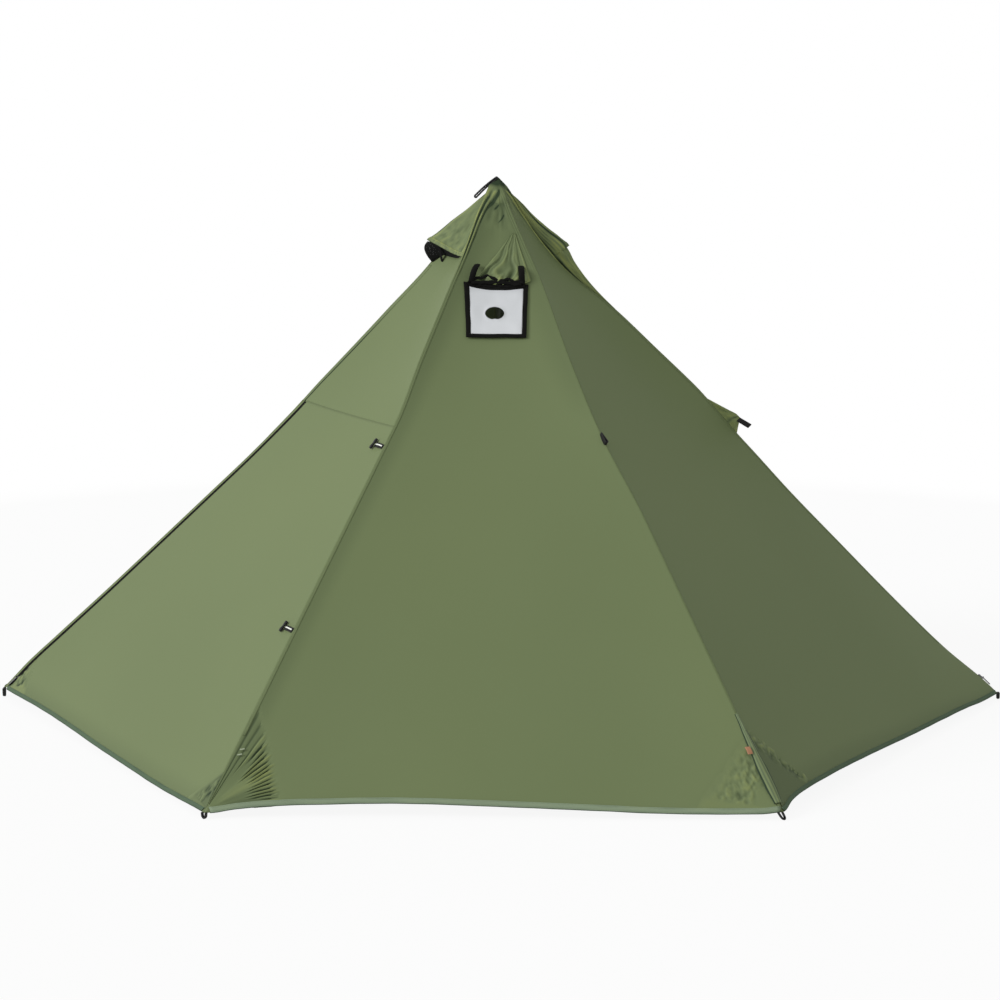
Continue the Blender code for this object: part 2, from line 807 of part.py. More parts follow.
def peg_loop(name, material, facing):
    """Webbing loop from a hem corner down to the ground."""
    top = HEM_CORNER_HEIGHT - CLOTH * panel_normal(0.0).y - GAP
    half_top = PEG_LOOP_TOP_WIDTH / 2
    half_foot = PEG_LOOP_FOOT_WIDTH / 2
    outer = [(-half_foot, 0.0), (half_foot, 0.0), (half_top, top), (-half_top, top)]
    inner = [
        (-half_foot + 1.2 * WEBBING, WEBBING),
        (half_foot - 1.2 * WEBBING, WEBBING),
        (half_top - 1.2 * WEBBING, top - WEBBING),
        (-half_top + 1.2 * WEBBING, top - WEBBING),
    ]
    frame = frame_from(Vector((0.0, -CORNER_RADIUS + CLOTH, 0.0)), Vector((1, 0, 0)), Vector((0, 0, 1)))
    return outline_solid(name, material, [outer, inner], PEG_LOOP_DEPTH, frame, facing)


def webbing_loop(name, material, root, along, across, facing):
    """Folded webbing: a slim teardrop ring whose strap is as wide as GUY_STRAP_WIDTH."""
    end = GUY_LOOP_LENGTH - GUY_LOOP_END_RADIUS
    root_radius = WEBBING
    outer = teardrop(root_radius, root_radius, end, GUY_LOOP_END_RADIUS)
    inner_end = GUY_LOOP_END_RADIUS - WEBBING
    inner = teardrop(end * 0.45, inner_end * 0.5, end, inner_end)
    frame = frame_from(root, along, across)
    return outline_solid(name, material, [outer, inner], GUY_STRAP_WIDTH, frame, facing)


def ridge_place(run, level=0.0):
    """Place on or over a ridge that points to -Y."""
    point = RIDGE.point(run)
    along = RIDGE.direction(run)
    return Vector((0.0, -(point.x + level * along.y), point.y - level * along.x))


def ridge_rise(run):
    """Direction up a ridge that points to -Y."""
    along = RIDGE.direction(run)
    return Vector((0.0, -along.x, along.y))


def ridge_outward(run):
    """Direction square out of a ridge that points to -Y."""
    along = RIDGE.direction(run)
    return Vector((0.0, -along.y, -along.x))


def ridge_fin(name, material, facing):
    """Cloth fin that stands out of a ridge, with a square end below its tip for a guy loop."""
    low = GUY_RUN - FIN_BASE / 2
    origin = ridge_place(low, 2 * GAP)
    up = ridge_place(low + FIN_BASE, 2 * GAP) - origin
    outward = ridge_outward(GUY_RUN)
    frame = frame_from(origin, up, outward)
    tip_low = FIN_BASE * FIN_TIP_SHARE - GUY_STRAP_WIDTH / 2
    tip_high = tip_low + GUY_STRAP_WIDTH
    outline = [
        (0.0, 0.0),
        (up.length, 0.0),
        (tip_high, FIN_HEIGHT),
        (tip_low, FIN_HEIGHT),
        (tip_low, FIN_HEIGHT - GUY_STRAP_WIDTH),
    ]
    return outline_solid(name, material, [outline], CLOTH, frame, facing)


def guy_direction(lift):
    """Direction down a ridge, turned outward by an angle."""
    return ridge_outward(GUY_RUN) * math.sin(lift) - ridge_rise(GUY_RUN) * math.cos(lift)


def standing_guy(prefix, cloth_material, webbing, facing):
    """Fin that stands out of a ridge, with its loop hanging down beside the ridge from the fin's tip."""
    fin = ridge_fin(f"guy_fin_{prefix}", cloth_material, facing)
    tip_low = GUY_RUN + FIN_BASE * (FIN_TIP_SHARE - 0.5) - GUY_STRAP_WIDTH / 2
    clearance = GAP + GUY_STRAP_WIDTH / 2 * math.sin(FIN_LOOP_LIFT)
    root = ridge_place(tip_low - clearance, FIN_HEIGHT - GUY_STRAP_WIDTH / 2)
    along = guy_direction(FIN_LOOP_LIFT)
    loop = webbing_loop(f"guy_loop_{prefix}", webbing, root, along, Vector((1, 0, 0)), facing)
    return fin, loop


def lying_guy(prefix, cloth_material, webbing, facing):
    """Fin folded flat on the panel beside a ridge at the panel's +X side, with its loop."""
    low = GUY_RUN - FIN_BASE / 2
    tip_low = low + FIN_BASE * FIN_TIP_SHARE - GUY_STRAP_WIDTH / 2
    tip_high = tip_low + GUY_STRAP_WIDTH
    rows = [low, tip_low, tip_high, low + FIN_BASE]
    run = (tip_low + tip_high) / 2
    ridge_step = 2 * RIDGE_INSET
    tip = half_width(run) - FIN_HEIGHT

    def place(column, row, side):
        level = GAP + side * CLOTH
        right = half_width(rows[row], level) - ridge_step
        left = tip if row in (1, 2) else right - CLOTH
        return panel_point(rows[row], left + (right - left) * column, level)

    fin = cloth(f"guy_fin_{prefix}", cloth_material, facing, 1, 3, place)
    level = GUY_LOOP_END_RADIUS
    root = panel_point(run, tip - GAP, GAP + WEBBING)
    normal = panel_normal(run)
    outward = Vector((0.0, -normal.x, normal.y))
    tilt = math.atan2(level, GUY_LOOP_LENGTH)
    along = Vector((-1, 0, 0)) * math.cos(tilt) + outward * math.sin(tilt)
    loop = webbing_loop(f"guy_loop_{prefix}", webbing, root, along, outward, facing)
    return fin, loop


def hanging_guy_loop(name, material, facing):
    """Loop sewn into a ridge without a fin; it hangs down along the ridge."""
    root = ridge_place(GUY_RUN + GUY_LOOP_ABOVE_FINS, GAP + WEBBING * (1 - math.sin(GUY_LOOP_LIFT)))
    return webbing_loop(name, material, root, guy_direction(GUY_LOOP_LIFT), ridge_outward(GUY_RUN), facing)


def tie_axis_point(run):
    """Outer edge of a tie-back's sewn end, beside the door's hinge ridge."""
    return panel_point(run, half_width(run) - TIE_ROOT, GAP + WEBBING)


def tie_strap(name, material, facing, run):
    """Short strap of a tie-back, lying on the closed door."""
    left = half_width(run) - TIE_ROOT - TIE_LENGTH

    def place(column, row, side):
        here = run + (row - 0.5) * TIE_WIDTH
        x = half_width(here) - TIE_ROOT if column else left
        return panel_point(here, x, GAP + side * WEBBING)

    return cloth(name, material, facing, 1, 1, place, pivot=tie_axis_point(run))


def tie_toggle(name, material, facing, run):
    """Toggle bar across the free end of a tie-back, notched for its strap."""
    x = half_width(run) - TIE_ROOT - TIE_LENGTH - TOGGLE_RADIUS - GAP
    level = GAP + TOGGLE_RADIUS
    up = panel_slope(run)
    middle = panel_point(run, x, level)
    half = up * (TOGGLE_LENGTH / 2)
    bm = cylinder_between(middle - half, middle + half, TOGGLE_RADIUS, 10)
    return add_object(name, bm, material, facing, pivot=tie_axis_point(run), smooth=True)


def ridge_strip(name, material, facing):
    """Flat strip folded over a ridge above its hem corner, in a frame whose ridge points to -Y."""

    def place(column, row, side):
        run = STRIP_FOOT_RUN + row * STRIP_LENGTH
        level = GAP + side * TAPE
        half = half_width(run, level)
        x = half if column == 1 else half - STRIP_WIDTH / 2
        point = Matrix.Rotation(-HALF_SECTOR, 3, "Z") @ panel_point(run, x, level)
        if column == 2:
            point.x = -point.x
        return point

    return cloth(name, material, facing, 2, 1, place)


def apex_cap(name, material):
    """Six-sided cap over the collar."""
    along = RIDGE.direction(RIDGE.length)
    ridge_slope = along.y / -along.x
    face_slope = ridge_slope / COS_HALF
    cloth_tip = COLLAR_HEIGHT + COLLAR_RADIUS * ridge_slope
    stand_off = (CAP_GAP + CLOTH) * math.sqrt(1 + face_slope ** 2)
    tip = cloth_tip + stand_off
    bm = bmesh.new()
    bmesh.ops.create_cone(
        bm,
        cap_ends=False,
        segments=SIDES,
        radius1=CAP_DEPTH / ridge_slope,
        radius2=0.0,
        depth=CAP_DEPTH,
        matrix=Matrix.Translation((0, 0, tip - CAP_DEPTH / 2)),
    )
    bmesh.ops.remove_doubles(bm, verts=bm.verts[:], dist=0.00001)
    item = add_object(name, bm, material, facing=math.radians(30))
    shell = item.modifiers.new("shell", "SOLIDIFY")
    shell.thickness = CLOTH
    shell.offset = -1.0
    shell.use_even_offset = True
    return item, tip


def top_loop(name, material, cap_tip):
    """Hanging loop at the apex, lying over the left ridge; its origin is on its swing axis."""
    end = TOP_LOOP_LENGTH - TOP_LOOP_END_RADIUS
    ridge = RIDGE.direction(RIDGE.length)
    pivot = Vector((0.0, 0.0, cap_tip + (TOP_LOOP_ROOT_RADIUS + GAP) / -ridge.x))
    lift = math.asin((TOP_LOOP_END_RADIUS - TOP_LOOP_ROOT_RADIUS + TOP_LOOP_STAND_OFF) / end)
    angle = math.atan2(ridge.y, -ridge.x) - lift
    along = Vector((-math.cos(angle), 0.0, -math.sin(angle)))
    across = Vector((math.sin(angle), 0.0, -math.cos(angle)))
    outer = teardrop(0.0, TOP_LOOP_ROOT_RADIUS, end, TOP_LOOP_END_RADIUS, 8)
    inner_radius = TOP_LOOP_END_RADIUS - TOP_LOOP_STRAP
    inner = teardrop(end * 0.3, inner_radius * 0.6, end, inner_radius)
    frame = frame_from(pivot, along, across)
    return outline_solid(name, material, [outer, inner], TOP_LOOP_WIDTH, frame, pivot=pivot)


def inner_cone(run):
    """Radius and height just inside the cloth at a run."""
    normal = panel_normal(run)
    ridge = RIDGE.point(run)
    depth = CLOTH + GAP
    return ridge.x * COS_HALF - depth * normal.x, ridge.y - depth * normal.y


def pole(materials):
    """Cup under the apex and the two-tube pole that stands in it."""
    top_radius, top_height = inner_cone(RIDGE.length - CUP_TOP_BELOW_COLLAR)
    skirt_radius, skirt_height = inner_cone(RIDGE.length - CUP_TOP_BELOW_COLLAR - CUP_SKIRT)
    bore = UPPER_TUBE_RADIUS + RUNNING_GAP
    roof = top_height - CUP_ROOF
    cup_outline = [
        (0.0, top_height),
        (top_radius, top_height),
        (skirt_radius, skirt_height),
        (bore, skirt_height),
        (bore, roof),
        (0.0, roof),
    ]
    turned("pole_cup", materials["moulded"], cup_outline)

    plug_top = roof - GAP
    tube_top = plug_top - PLUG_HEAD - GAP
    stem = UPPER_TUBE_RADIUS - TUBE_WALL - GAP
    plug_outline = [
        (0.0, plug_top),
        (UPPER_TUBE_RADIUS * 0.6, plug_top),
        (UPPER_TUBE_RADIUS, plug_top - PLUG_HEAD * 0.4),
        (UPPER_TUBE_RADIUS, plug_top - PLUG_HEAD),
        (stem, plug_top - PLUG_HEAD),
        (stem, tube_top - PLUG_STEM),
        (0.0, tube_top - PLUG_STEM),
    ]
    turned("pole_top_plug", materials["rubber"], plug_outline)
    tube("pole_upper_tube", materials["tube"], UPPER_TUBE_RADIUS, TUBE_WALL, UPPER_TUBE_FOOT, tube_top)

    grip = UPPER_TUBE_RADIUS + GAP
    guide_bore = LOWER_TUBE_RADIUS + RUNNING_GAP
    collar_top = UPPER_TUBE_FOOT + COLLAR_LENGTH * 0.6
    collar_foot = UPPER_TUBE_FOOT - COLLAR_LENGTH * 0.4
    step = UPPER_TUBE_FOOT - GAP
    lock_outline = [
        (COLLAR_OUTER_RADIUS - 0.0015, collar_top),
        (COLLAR_OUTER_RADIUS, collar_top - 0.004),
        (COLLAR_OUTER_RADIUS, collar_foot + 0.004),
        (COLLAR_OUTER_RADIUS - 0.002, collar_foot),
        (guide_bore, collar_foot),
        (guide_bore, step),
        (grip, step),
        (grip, collar_top),
    ]
    turned("pole_lock_collar", materials["moulded"], lock_outline)

    tube_foot = FOOT_SOLE + GAP
    lower_top = UPPER_TUBE_FOOT + TUBE_OVERLAP
    tube("pole_lower_tube", materials["tube"], LOWER_TUBE_RADIUS, TUBE_WALL, tube_foot, lower_top)
    foot_bore = LOWER_TUBE_RADIUS + GAP
    foot_outline = [
        (0.0, FOOT_SOLE),
        (foot_bore, FOOT_SOLE),
        (foot_bore, FOOT_HEIGHT),
        (FOOT_TOP_RADIUS, FOOT_HEIGHT),
        (FOOT_RADIUS, FOOT_SOLE),
        (FOOT_RADIUS, 0.0),
        (0.0, 0.0),
    ]
    turned("pole_foot", materials["rubber"], foot_outline)


def door_side(suffix, materials, facing):
    """Everything on a door side except its peg loops."""
    door_side_panel(f"panel_{suffix}", materials["cloth"], facing)
    hood(f"hood_{suffix}", materials["cloth"], facing)
    vent_net(f"vent_net_{suffix}", materials["net"], facing)
    vent_prop(f"vent_prop_{suffix}", materials["moulded"], facing)
    door_panel(f"door_{suffix}", materials["cloth"], facing)
    hem_tape(f"hem_tape_{suffix}", materials["tape"], facing, DOOR_EDGE, HINGE_CLEARANCE, door_pivot())
    zip_chain(f"zip_chain_{suffix}", materials["chain"], facing)
    zip_slider(f"zip_slider_{suffix}", materials["metal"], facing)
    zip_pull(f"zip_pull_{suffix}", materials["metal"], facing)
    for place, run in zip(("low", "high"), TIE_RUNS):
        tie_strap(f"tie_strap_{suffix}_{place}", materials["webbing"], facing, run)
        tie_toggle(f"tie_toggle_{suffix}_{place}", materials["moulded"], facing, run)


def make_materials():
    """Materials of the tent, by use."""
    return {
        "cloth": make_material("tent_cloth", (0.165, 0.205, 0.100), 0.85),
        "tape": make_material("hem_tape", (0.130, 0.180, 0.110), 0.80),
        "webbing": make_material("black_webbing", (0.012, 0.012, 0.013), 0.75),
        "net": make_material("vent_net", (0.010, 0.011, 0.010), 0.90),
        "chain": make_material("zip_chain", (0.010, 0.010, 0.011), 0.50),
        "metal": make_material("zip_metal", (0.080, 0.080, 0.085), 0.40, 0.8),
        "moulded": make_material("moulded_black", (0.015, 0.015, 0.016), 0.45),
        "patch": make_material("heat_patch", (0.560, 0.580, 0.600), 0.55),
        "tube": make_material("pole_tube", (0.620, 0.630, 0.640), 0.35, 1.0),
        "rubber": make_material("black_rubber", (0.018, 0.018, 0.018), 0.80),
    }


def clear_scene():
    """Remove all objects and make the two collections."""
    for item in list(bpy.data.objects):
        bpy.data.objects.remove(item)
    for name in ("tipi_tent", "guides"):
        collection = bpy.data.collections.get(name) or bpy.data.collections.new(name)
        if name not in bpy.context.scene.collection.children:
            bpy.context.scene.collection.children.link(collection)


def main():
    """Build the tent."""
    clear_scene()
    materials = make_materials()

    full_panel("panel_front", materials["cloth"], FRONT, True)
    full_panel("panel_front_right", materials["cloth"], FRONT_RIGHT, False)
    full_panel("panel_back", materials["cloth"], BACK, False)
    full_panel("panel_back_left", materials["cloth"], BACK_LEFT, False)
    hem_tape("hem_tape_front", materials["tape"], FRONT, left_inset=HINGE_CLEARANCE)
    hem_tape("hem_tape_front_right", materials["tape"], FRONT_RIGHT)
    hem_tape("hem_tape_back", materials["tape"], BACK, left_inset=HINGE_CLEARANCE)
    hem_tape("hem_tape_back_left", materials["tape"], BACK_LEFT)
    door_side("front_left", materials, FRONT_LEFT)
    door_side("back_right", materials, BACK_RIGHT)

    jack_patch("jack_patch", materials["patch"])
    jack_binding("jack_binding", materials["webbing"])
    jack_flap("jack_flap", materials["cloth"])
    strap_x = JACK_WIDTH / 2 - STRAP_INSET
    jack_strap("jack_strap_left", materials["webbing"], -strap_x, -strap_x + STRAP_LEAN)
    jack_strap("jack_strap_right", materials["webbing"], strap_x, strap_x)

    ridges = {
        "front_left": RIDGE_FRONT_LEFT,
        "front_right": RIDGE_FRONT_RIGHT,
        "right": RIDGE_RIGHT,
        "back_right": RIDGE_BACK_RIGHT,
        "back_left": RIDGE_BACK_LEFT,
        "left": RIDGE_LEFT,
    }
    for place, facing in ridges.items():
        peg_loop(f"peg_loop_{place}", materials["webbing"], facing)
    ridge_strip("ridge_strip", materials["tape"], RIDGE_FRONT_RIGHT)
    hanging_guy_loop("guy_loop_front_right", materials["webbing"], RIDGE_FRONT_RIGHT)
    hanging_guy_loop("guy_loop_back_left", materials["webbing"], RIDGE_BACK_LEFT)
    standing_guy("right", materials["cloth"], materials["webbing"], RIDGE_RIGHT)
    lying_guy("left", materials["cloth"], materials["webbing"], BACK_LEFT)

    _, cap_tip = apex_cap("apex_cap", materials["cloth"])
    top_loop("top_loop", materials["webbing"], cap_tip)
    pole(materials)


if __name__ == "__main__":
    main()
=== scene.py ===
"""Six-sided tipi tent: cloth, webbing, zips and studio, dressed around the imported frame.

Cloth is laid out on a panel's own surface. A place on it has a run, which is the distance from the
hem corner up the ridge, a sideways distance x from the panel's middle line, and a level, which is the
distance outside the panel. All lengths are in metres.
"""

from __future__ import annotations

import json
import logging
import math
from collections.abc import Callable, Sequence
from dataclasses import dataclass, field
from enum import Enum
from functools import cached_property

import bmesh
import bpy
from bpy.types import Material, Node, NodeSocket, NodeTree, Object
from mathutils import Matrix, Vector, noise

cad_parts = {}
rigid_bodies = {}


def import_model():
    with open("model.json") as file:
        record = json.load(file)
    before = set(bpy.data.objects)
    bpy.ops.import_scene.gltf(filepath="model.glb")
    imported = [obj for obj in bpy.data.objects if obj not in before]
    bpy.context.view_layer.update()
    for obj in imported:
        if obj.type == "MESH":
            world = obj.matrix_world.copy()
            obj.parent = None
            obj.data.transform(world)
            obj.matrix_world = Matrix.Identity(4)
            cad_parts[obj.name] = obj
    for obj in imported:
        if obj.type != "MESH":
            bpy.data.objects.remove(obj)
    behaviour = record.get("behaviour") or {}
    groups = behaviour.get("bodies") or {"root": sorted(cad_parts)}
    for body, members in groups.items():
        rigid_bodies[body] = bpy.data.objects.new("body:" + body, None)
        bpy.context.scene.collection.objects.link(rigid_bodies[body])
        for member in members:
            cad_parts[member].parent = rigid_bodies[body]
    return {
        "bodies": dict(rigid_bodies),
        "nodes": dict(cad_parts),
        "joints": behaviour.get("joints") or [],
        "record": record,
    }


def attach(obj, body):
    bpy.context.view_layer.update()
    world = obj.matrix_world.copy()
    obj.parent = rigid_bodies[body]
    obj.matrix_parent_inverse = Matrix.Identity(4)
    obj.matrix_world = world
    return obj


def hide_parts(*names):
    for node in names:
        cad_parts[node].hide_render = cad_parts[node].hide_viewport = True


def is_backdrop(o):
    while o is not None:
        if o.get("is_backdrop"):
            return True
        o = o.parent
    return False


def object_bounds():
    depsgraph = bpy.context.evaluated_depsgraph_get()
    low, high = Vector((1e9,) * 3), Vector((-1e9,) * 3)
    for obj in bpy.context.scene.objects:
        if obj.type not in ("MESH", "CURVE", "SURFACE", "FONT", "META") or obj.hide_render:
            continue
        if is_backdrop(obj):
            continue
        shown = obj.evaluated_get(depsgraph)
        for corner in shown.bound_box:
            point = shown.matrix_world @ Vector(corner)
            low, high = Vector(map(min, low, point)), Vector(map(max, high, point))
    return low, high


LOG = logging.getLogger("tipi_tent")

Colour = tuple[float, float, float]
Spot = tuple[float, float]
Place = Callable[[float, float], Vector]
Path = list[tuple[Vector, Vector, Vector]]

HALF_SECTOR = math.pi / 6
COS_HALF = math.cos(HALF_SECTOR)
TAN_HALF = math.tan(HALF_SECTOR)
WHITE = (1.0, 1.0, 1.0, 1.0)


class Bearing(Enum):
    """Direction in degrees counted from the front."""

    @property
    def turn(self) -> Matrix:
        """Turn that takes a part of the tent from the front to this side."""
        return Matrix.Rotation(math.radians(self.value), 3, "Z")

    @property
    def label(self) -> str:
        """Name of the side in piece names."""
        return self.name.lower()


class Facing(Bearing):
    """Direction that a panel faces."""

    FRONT = 0
    FRONT_RIGHT = 60
    BACK_RIGHT = 120
    BACK = 180
    BACK_LEFT = 240
    FRONT_LEFT = 300


class RidgeSide(Bearing):
    """Direction that a ridge points."""

    FRONT_RIGHT = 30
    RIGHT = 90
    BACK_RIGHT = 150
    BACK_LEFT = 210
    LEFT = 270
    FRONT_LEFT = 330


def even(low: float, high: float, count: int) -> list[float]:
    """Evenly spaced values from low to high."""
    return [low + (high - low) * k / count for k in range(count + 1)]


def crowded(low: float, high: float, count: int, bend: float = 1.2) -> list[float]:
    """Values from low to high that crowd towards both ends, the more the bend nears 1.5."""
    half = (high - low) / 2
    return [low + half + half * math.sin(bend * t) / math.sin(bend) for t in even(-1, 1, count)]


def smooth(value: float, low: float, high: float) -> float:
    """Smooth step from 0 at low to 1 at high."""
    share = min(max((value - low) / (high - low), 0.0), 1.0)
    return share * share * (3 - 2 * share)


def through(knots: Sequence[tuple[float, float]], place: float) -> float:
    """Smooth curve through given knots.

    Args:
        knots: Place and value of each knot, in order.
        place: Where the curve is read.

    Returns:
        Its value, which stays level before the first and after the last knot.
    """
    if place <= knots[0][0]:
        return knots[0][1]
    if place >= knots[-1][0]:
        return knots[-1][1]
    k = max(i for i, knot in enumerate(knots[:-1]) if knot[0] <= place)

    def lean(i: int) -> float:
        """Slope of the curve at a knot."""
        before, after = knots[max(i - 1, 0)], knots[min(i + 1, len(knots) - 1)]
        return 0.0 if i in (0, len(knots) - 1) else (after[1] - before[1]) / (after[0] - before[0])

    gap = knots[k + 1][0] - knots[k][0]
    t = (place - knots[k][0]) / gap
    first = (1 + 2 * t) * (1 - t) ** 2 * knots[k][1] + t * (1 - t) ** 2 * gap * lean(k)
    return first + t * t * (3 - 2 * t) * knots[k + 1][1] + t * t * (t - 1) * gap * lean(k + 1)


def bell(value: float, middle: float, width: float) -> float:
    """Bump of height 1 at a middle value, which fades over a width."""
    return math.exp(-(((value - middle) / width) ** 2))


def hand_name(hand: int) -> str:
    """Name of a left (-1) or right (1) side."""
    return "left" if hand < 0 else "right"


def steps(section: Sequence[object]) -> list[float]:
    """Number of each point of a section, as grid columns or rows."""
    return [float(k) for k in range(len(section))]


def ripple(x: float, y: float, seed: float) -> float:
    """Smooth noise from about -1 to 1 that is the same each run."""
    return noise.noise(Vector((x, y, seed)))


NO_DRAW = ((0.0, 0.0), (3.0, 0.0))
# Pleat lines beside a ridge: distance from the ridge, width and strength; each is a small ridge or hollow in the
# cloth and also painted highlight (above 0) or painted shade (below 0).
FINE_PLEATS = ((0.0012, 0.0012, 1.0), (0.0042, 0.0013, -1.5), (0.0074, 0.0012, 1.0), (0.0105, 0.0016, -0.7))
EDGE_PLEATS = ((0.0022, 0.0026, -2.6), (0.0095, 0.0026, 2.2), (0.0160, 0.0030, -0.6))
# Painted lines under the apex, with no shape of their own: strength, below 0 for painted shade and above 0 for
# painted highlight, then knots of distance down from the collar and sideways place.
APEX_CREASES = (
    (-1.5, ((0.000, -0.001), (0.024, -0.001), (0.058, -0.011), (0.078, -0.020), (0.102, -0.031))),
    (-1.0, ((0.060, -0.001), (0.090, -0.011))),
    (-1.2, ((0.098, 0.014), (0.118, 0.007), (0.135, -0.003))),
    (0.9, ((0.010, -0.006), (0.030, -0.012), (0.055, -0.024))),
)


@dataclass(frozen=True)
class RidgeDraw:
    """How far the cloth's pull draws a ridge off its plain line, by run."""

    outward: tuple[tuple[float, float], ...] = NO_DRAW
    sideways: tuple[tuple[float, float], ...] = NO_DRAW


DRAWS = {
    RidgeSide.RIGHT: RidgeDraw((
        (0.02, -0.002), (0.22, -0.015), (0.45, -0.014), (0.72, -0.006), (0.93, 0.001), (1.10, 0.012), (1.20, 0.018),
        (1.30, 0.028), (1.40, 0.034), (1.60, 0.029), (1.72, 0.023), (1.79, 0.014), (1.84, 0.005), (1.90, -0.006),
        (1.97, -0.013), (2.07, -0.014), (2.17, -0.005), (2.267, 0.008),
    )),
    RidgeSide.LEFT: RidgeDraw((
        (0.0, 0.004), (0.12, 0.009), (0.25, 0.006), (0.50, 0.0), (0.95, -0.005), (1.12, -0.006), (1.30, -0.001),
        (1.45, 0.008), (1.75, 0.0115), (1.90, 0.0075), (2.00, 0.008), (2.10, 0.007), (2.20, 0.006), (2.267, 0.007),
    )),
    RidgeSide.FRONT_LEFT: RidgeDraw(
        ((1.36, 0.0), (1.60, 0.014), (1.85, 0.022), (2.15, 0.020), (2.267, 0.012)),
        ((1.36, 0.0), (1.60, -0.010), (1.85, -0.012), (2.00, -0.013), (2.15, -0.022), (2.267, -0.024)),
    ),
    RidgeSide.FRONT_RIGHT: RidgeDraw(
        sideways=((1.00, 0.0), (1.30, -0.014), (1.60, -0.004), (1.90, 0.012), (2.05, 0.006), (2.20, 0.0)),
    ),
}
PLAIN_HEM = ((-1.0, -0.005), (-0.60, 0.012), (0.60, 0.012), (1.0, -0.005))
HEMS = {
    Facing.FRONT: (
        (-1.0, -0.018), (-0.90, -0.005), (-0.78, 0.005), (-0.60, 0.011), (-0.33, 0.015), (0.0, 0.006),
        (0.35, -0.007), (0.60, -0.0155), (0.93, -0.0165), (1.0, -0.010),
    ),
    Facing.FRONT_RIGHT: (
        (-1.0, -0.010), (-0.90, 0.008), (-0.80, 0.016), (-0.60, 0.019), (-0.40, 0.018), (-0.10, 0.0115),
        (0.15, 0.0045), (0.50, -0.0015), (0.70, -0.006), (0.85, -0.013), (1.0, -0.013),
    ),
    Facing.BACK_RIGHT: ((-1.0, -0.013), (-0.70, 0.006), (0.0, 0.012), (0.60, 0.012), (1.0, -0.005)),
    Facing.FRONT_LEFT: (
        (-1.0, -0.005), (-0.60, -0.002), (-0.30, -0.006), (0.0, -0.014), (0.30, -0.019), (0.60, -0.023),
        (0.80, -0.021), (1.0, -0.018),
    ),
}


@dataclass(frozen=True)
class TentShape:
    """Side line and hem that all the cloth follows."""

    corner_radius: float = 1.600
    hem_corner_height: float = 0.030
    collar_radius: float = 0.014
    collar_height: float = 1.646
    knee_below_collar: float = 0.905
    ridge_sag: float = 0.038

    @cached_property
    def rise(self) -> Vector:
        """Direction up the straight part of a ridge, as radius and height."""
        return (self.knee - self.corner).normalized()

    @cached_property
    def corner(self) -> Vector:
        """Hem corner as radius and height."""
        return Vector((self.corner_radius, self.hem_corner_height))

    @cached_property
    def collar(self) -> Vector:
        """Top end of a ridge as radius and height."""
        return Vector((self.collar_radius, self.collar_height))

    @cached_property
    def knee(self) -> Vector:
        """Place where the ridge starts to curve, as radius and height."""
        chord = (self.collar - self.corner).normalized()
        return self.collar - chord * self.knee_below_collar - Vector((chord.y, -chord.x)) * self.ridge_sag

    @cached_property
    def line(self) -> float:
        """Length of the straight part of a ridge."""
        return (self.knee - self.corner).length

    @cached_property
    def outward(self) -> Vector:
        """Direction square out of the straight part of a ridge, as radius and height."""
        return Vector((self.rise.y, -self.rise.x))

    @cached_property
    def radius(self) -> float:
        """Radius of the ridge's curve."""
        rest = self.collar - self.knee
        return rest.length_squared / (2 * rest.dot(self.outward))

    @cached_property
    def length(self) -> float:
        """Length of a ridge from its hem corner to the collar."""
        rest = self.collar - self.knee
        return self.line + self.radius * 2 * math.atan2(rest.dot(self.outward), rest.dot(self.rise))

    @cached_property
    def door_top(self) -> float:
        """Run of a door's top edge."""
        return self.line - 0.004

    def ridge(self, run: float) -> Vector:
        """Radius and height of a ridge at a run."""
        angle = max(0.0, run - self.line) / self.radius
        ahead = min(run, self.line) + self.radius * math.sin(angle)
        return self.corner + self.rise * ahead + self.outward * self.radius * (1 - math.cos(angle))

    def along(self, run: float) -> Vector:
        """Direction up a ridge at a run, as radius and height."""
        angle = max(0.0, run - self.line) / self.radius
        return self.rise * math.cos(angle) + self.outward * math.sin(angle)

    def normal(self, run: float) -> Vector:
        """Outward and upward parts of a panel's normal at a run."""
        along = self.along(run)
        slope = Vector((along.x * COS_HALF, along.y)).normalized()
        return Vector((slope.y, -slope.x))

    def half_width(self, run: float, level: float = 0.0) -> float:
        """Sideways distance from a panel's middle line to its ridges."""
        return (self.ridge(run).x * COS_HALF + level * self.normal(run).x) * TAN_HALF

    def drawn(self, side: RidgeSide, run: float) -> Vector:
        """How far a ridge is drawn off its plain line at a run."""
        draw = DRAWS.get(side)
        if draw is None:
            return Vector()
        sideways = side.turn @ Vector((through(draw.sideways, run), 0.0, 0.0))
        return sideways + self.ridge_out(side, run) * through(draw.outward, run)

    def ridge_place(self, side: RidgeSide, run: float, level: float = 0.0) -> Vector:
        """Place on or over a ridge.

        Args:
            side: The ridge.
            run: Distance up it from its hem corner.
            level: Distance outside it.

        Returns:
            The place.
        """
        point = self.ridge(run)
        along = self.along(run)
        plain = side.turn @ Vector((0.0, -(point.x + level * along.y), point.y - level * along.x))
        return plain + self.drawn(side, run)

    def ridge_up(self, side: RidgeSide, run: float) -> Vector:
        """Direction up a ridge."""
        along = self.along(run)
        return side.turn @ Vector((0.0, -along.x, along.y))

    def ridge_out(self, side: RidgeSide, run: float) -> Vector:
        """Direction square out of a ridge."""
        along = self.along(run)
        return side.turn @ Vector((0.0, -along.y, -along.x))


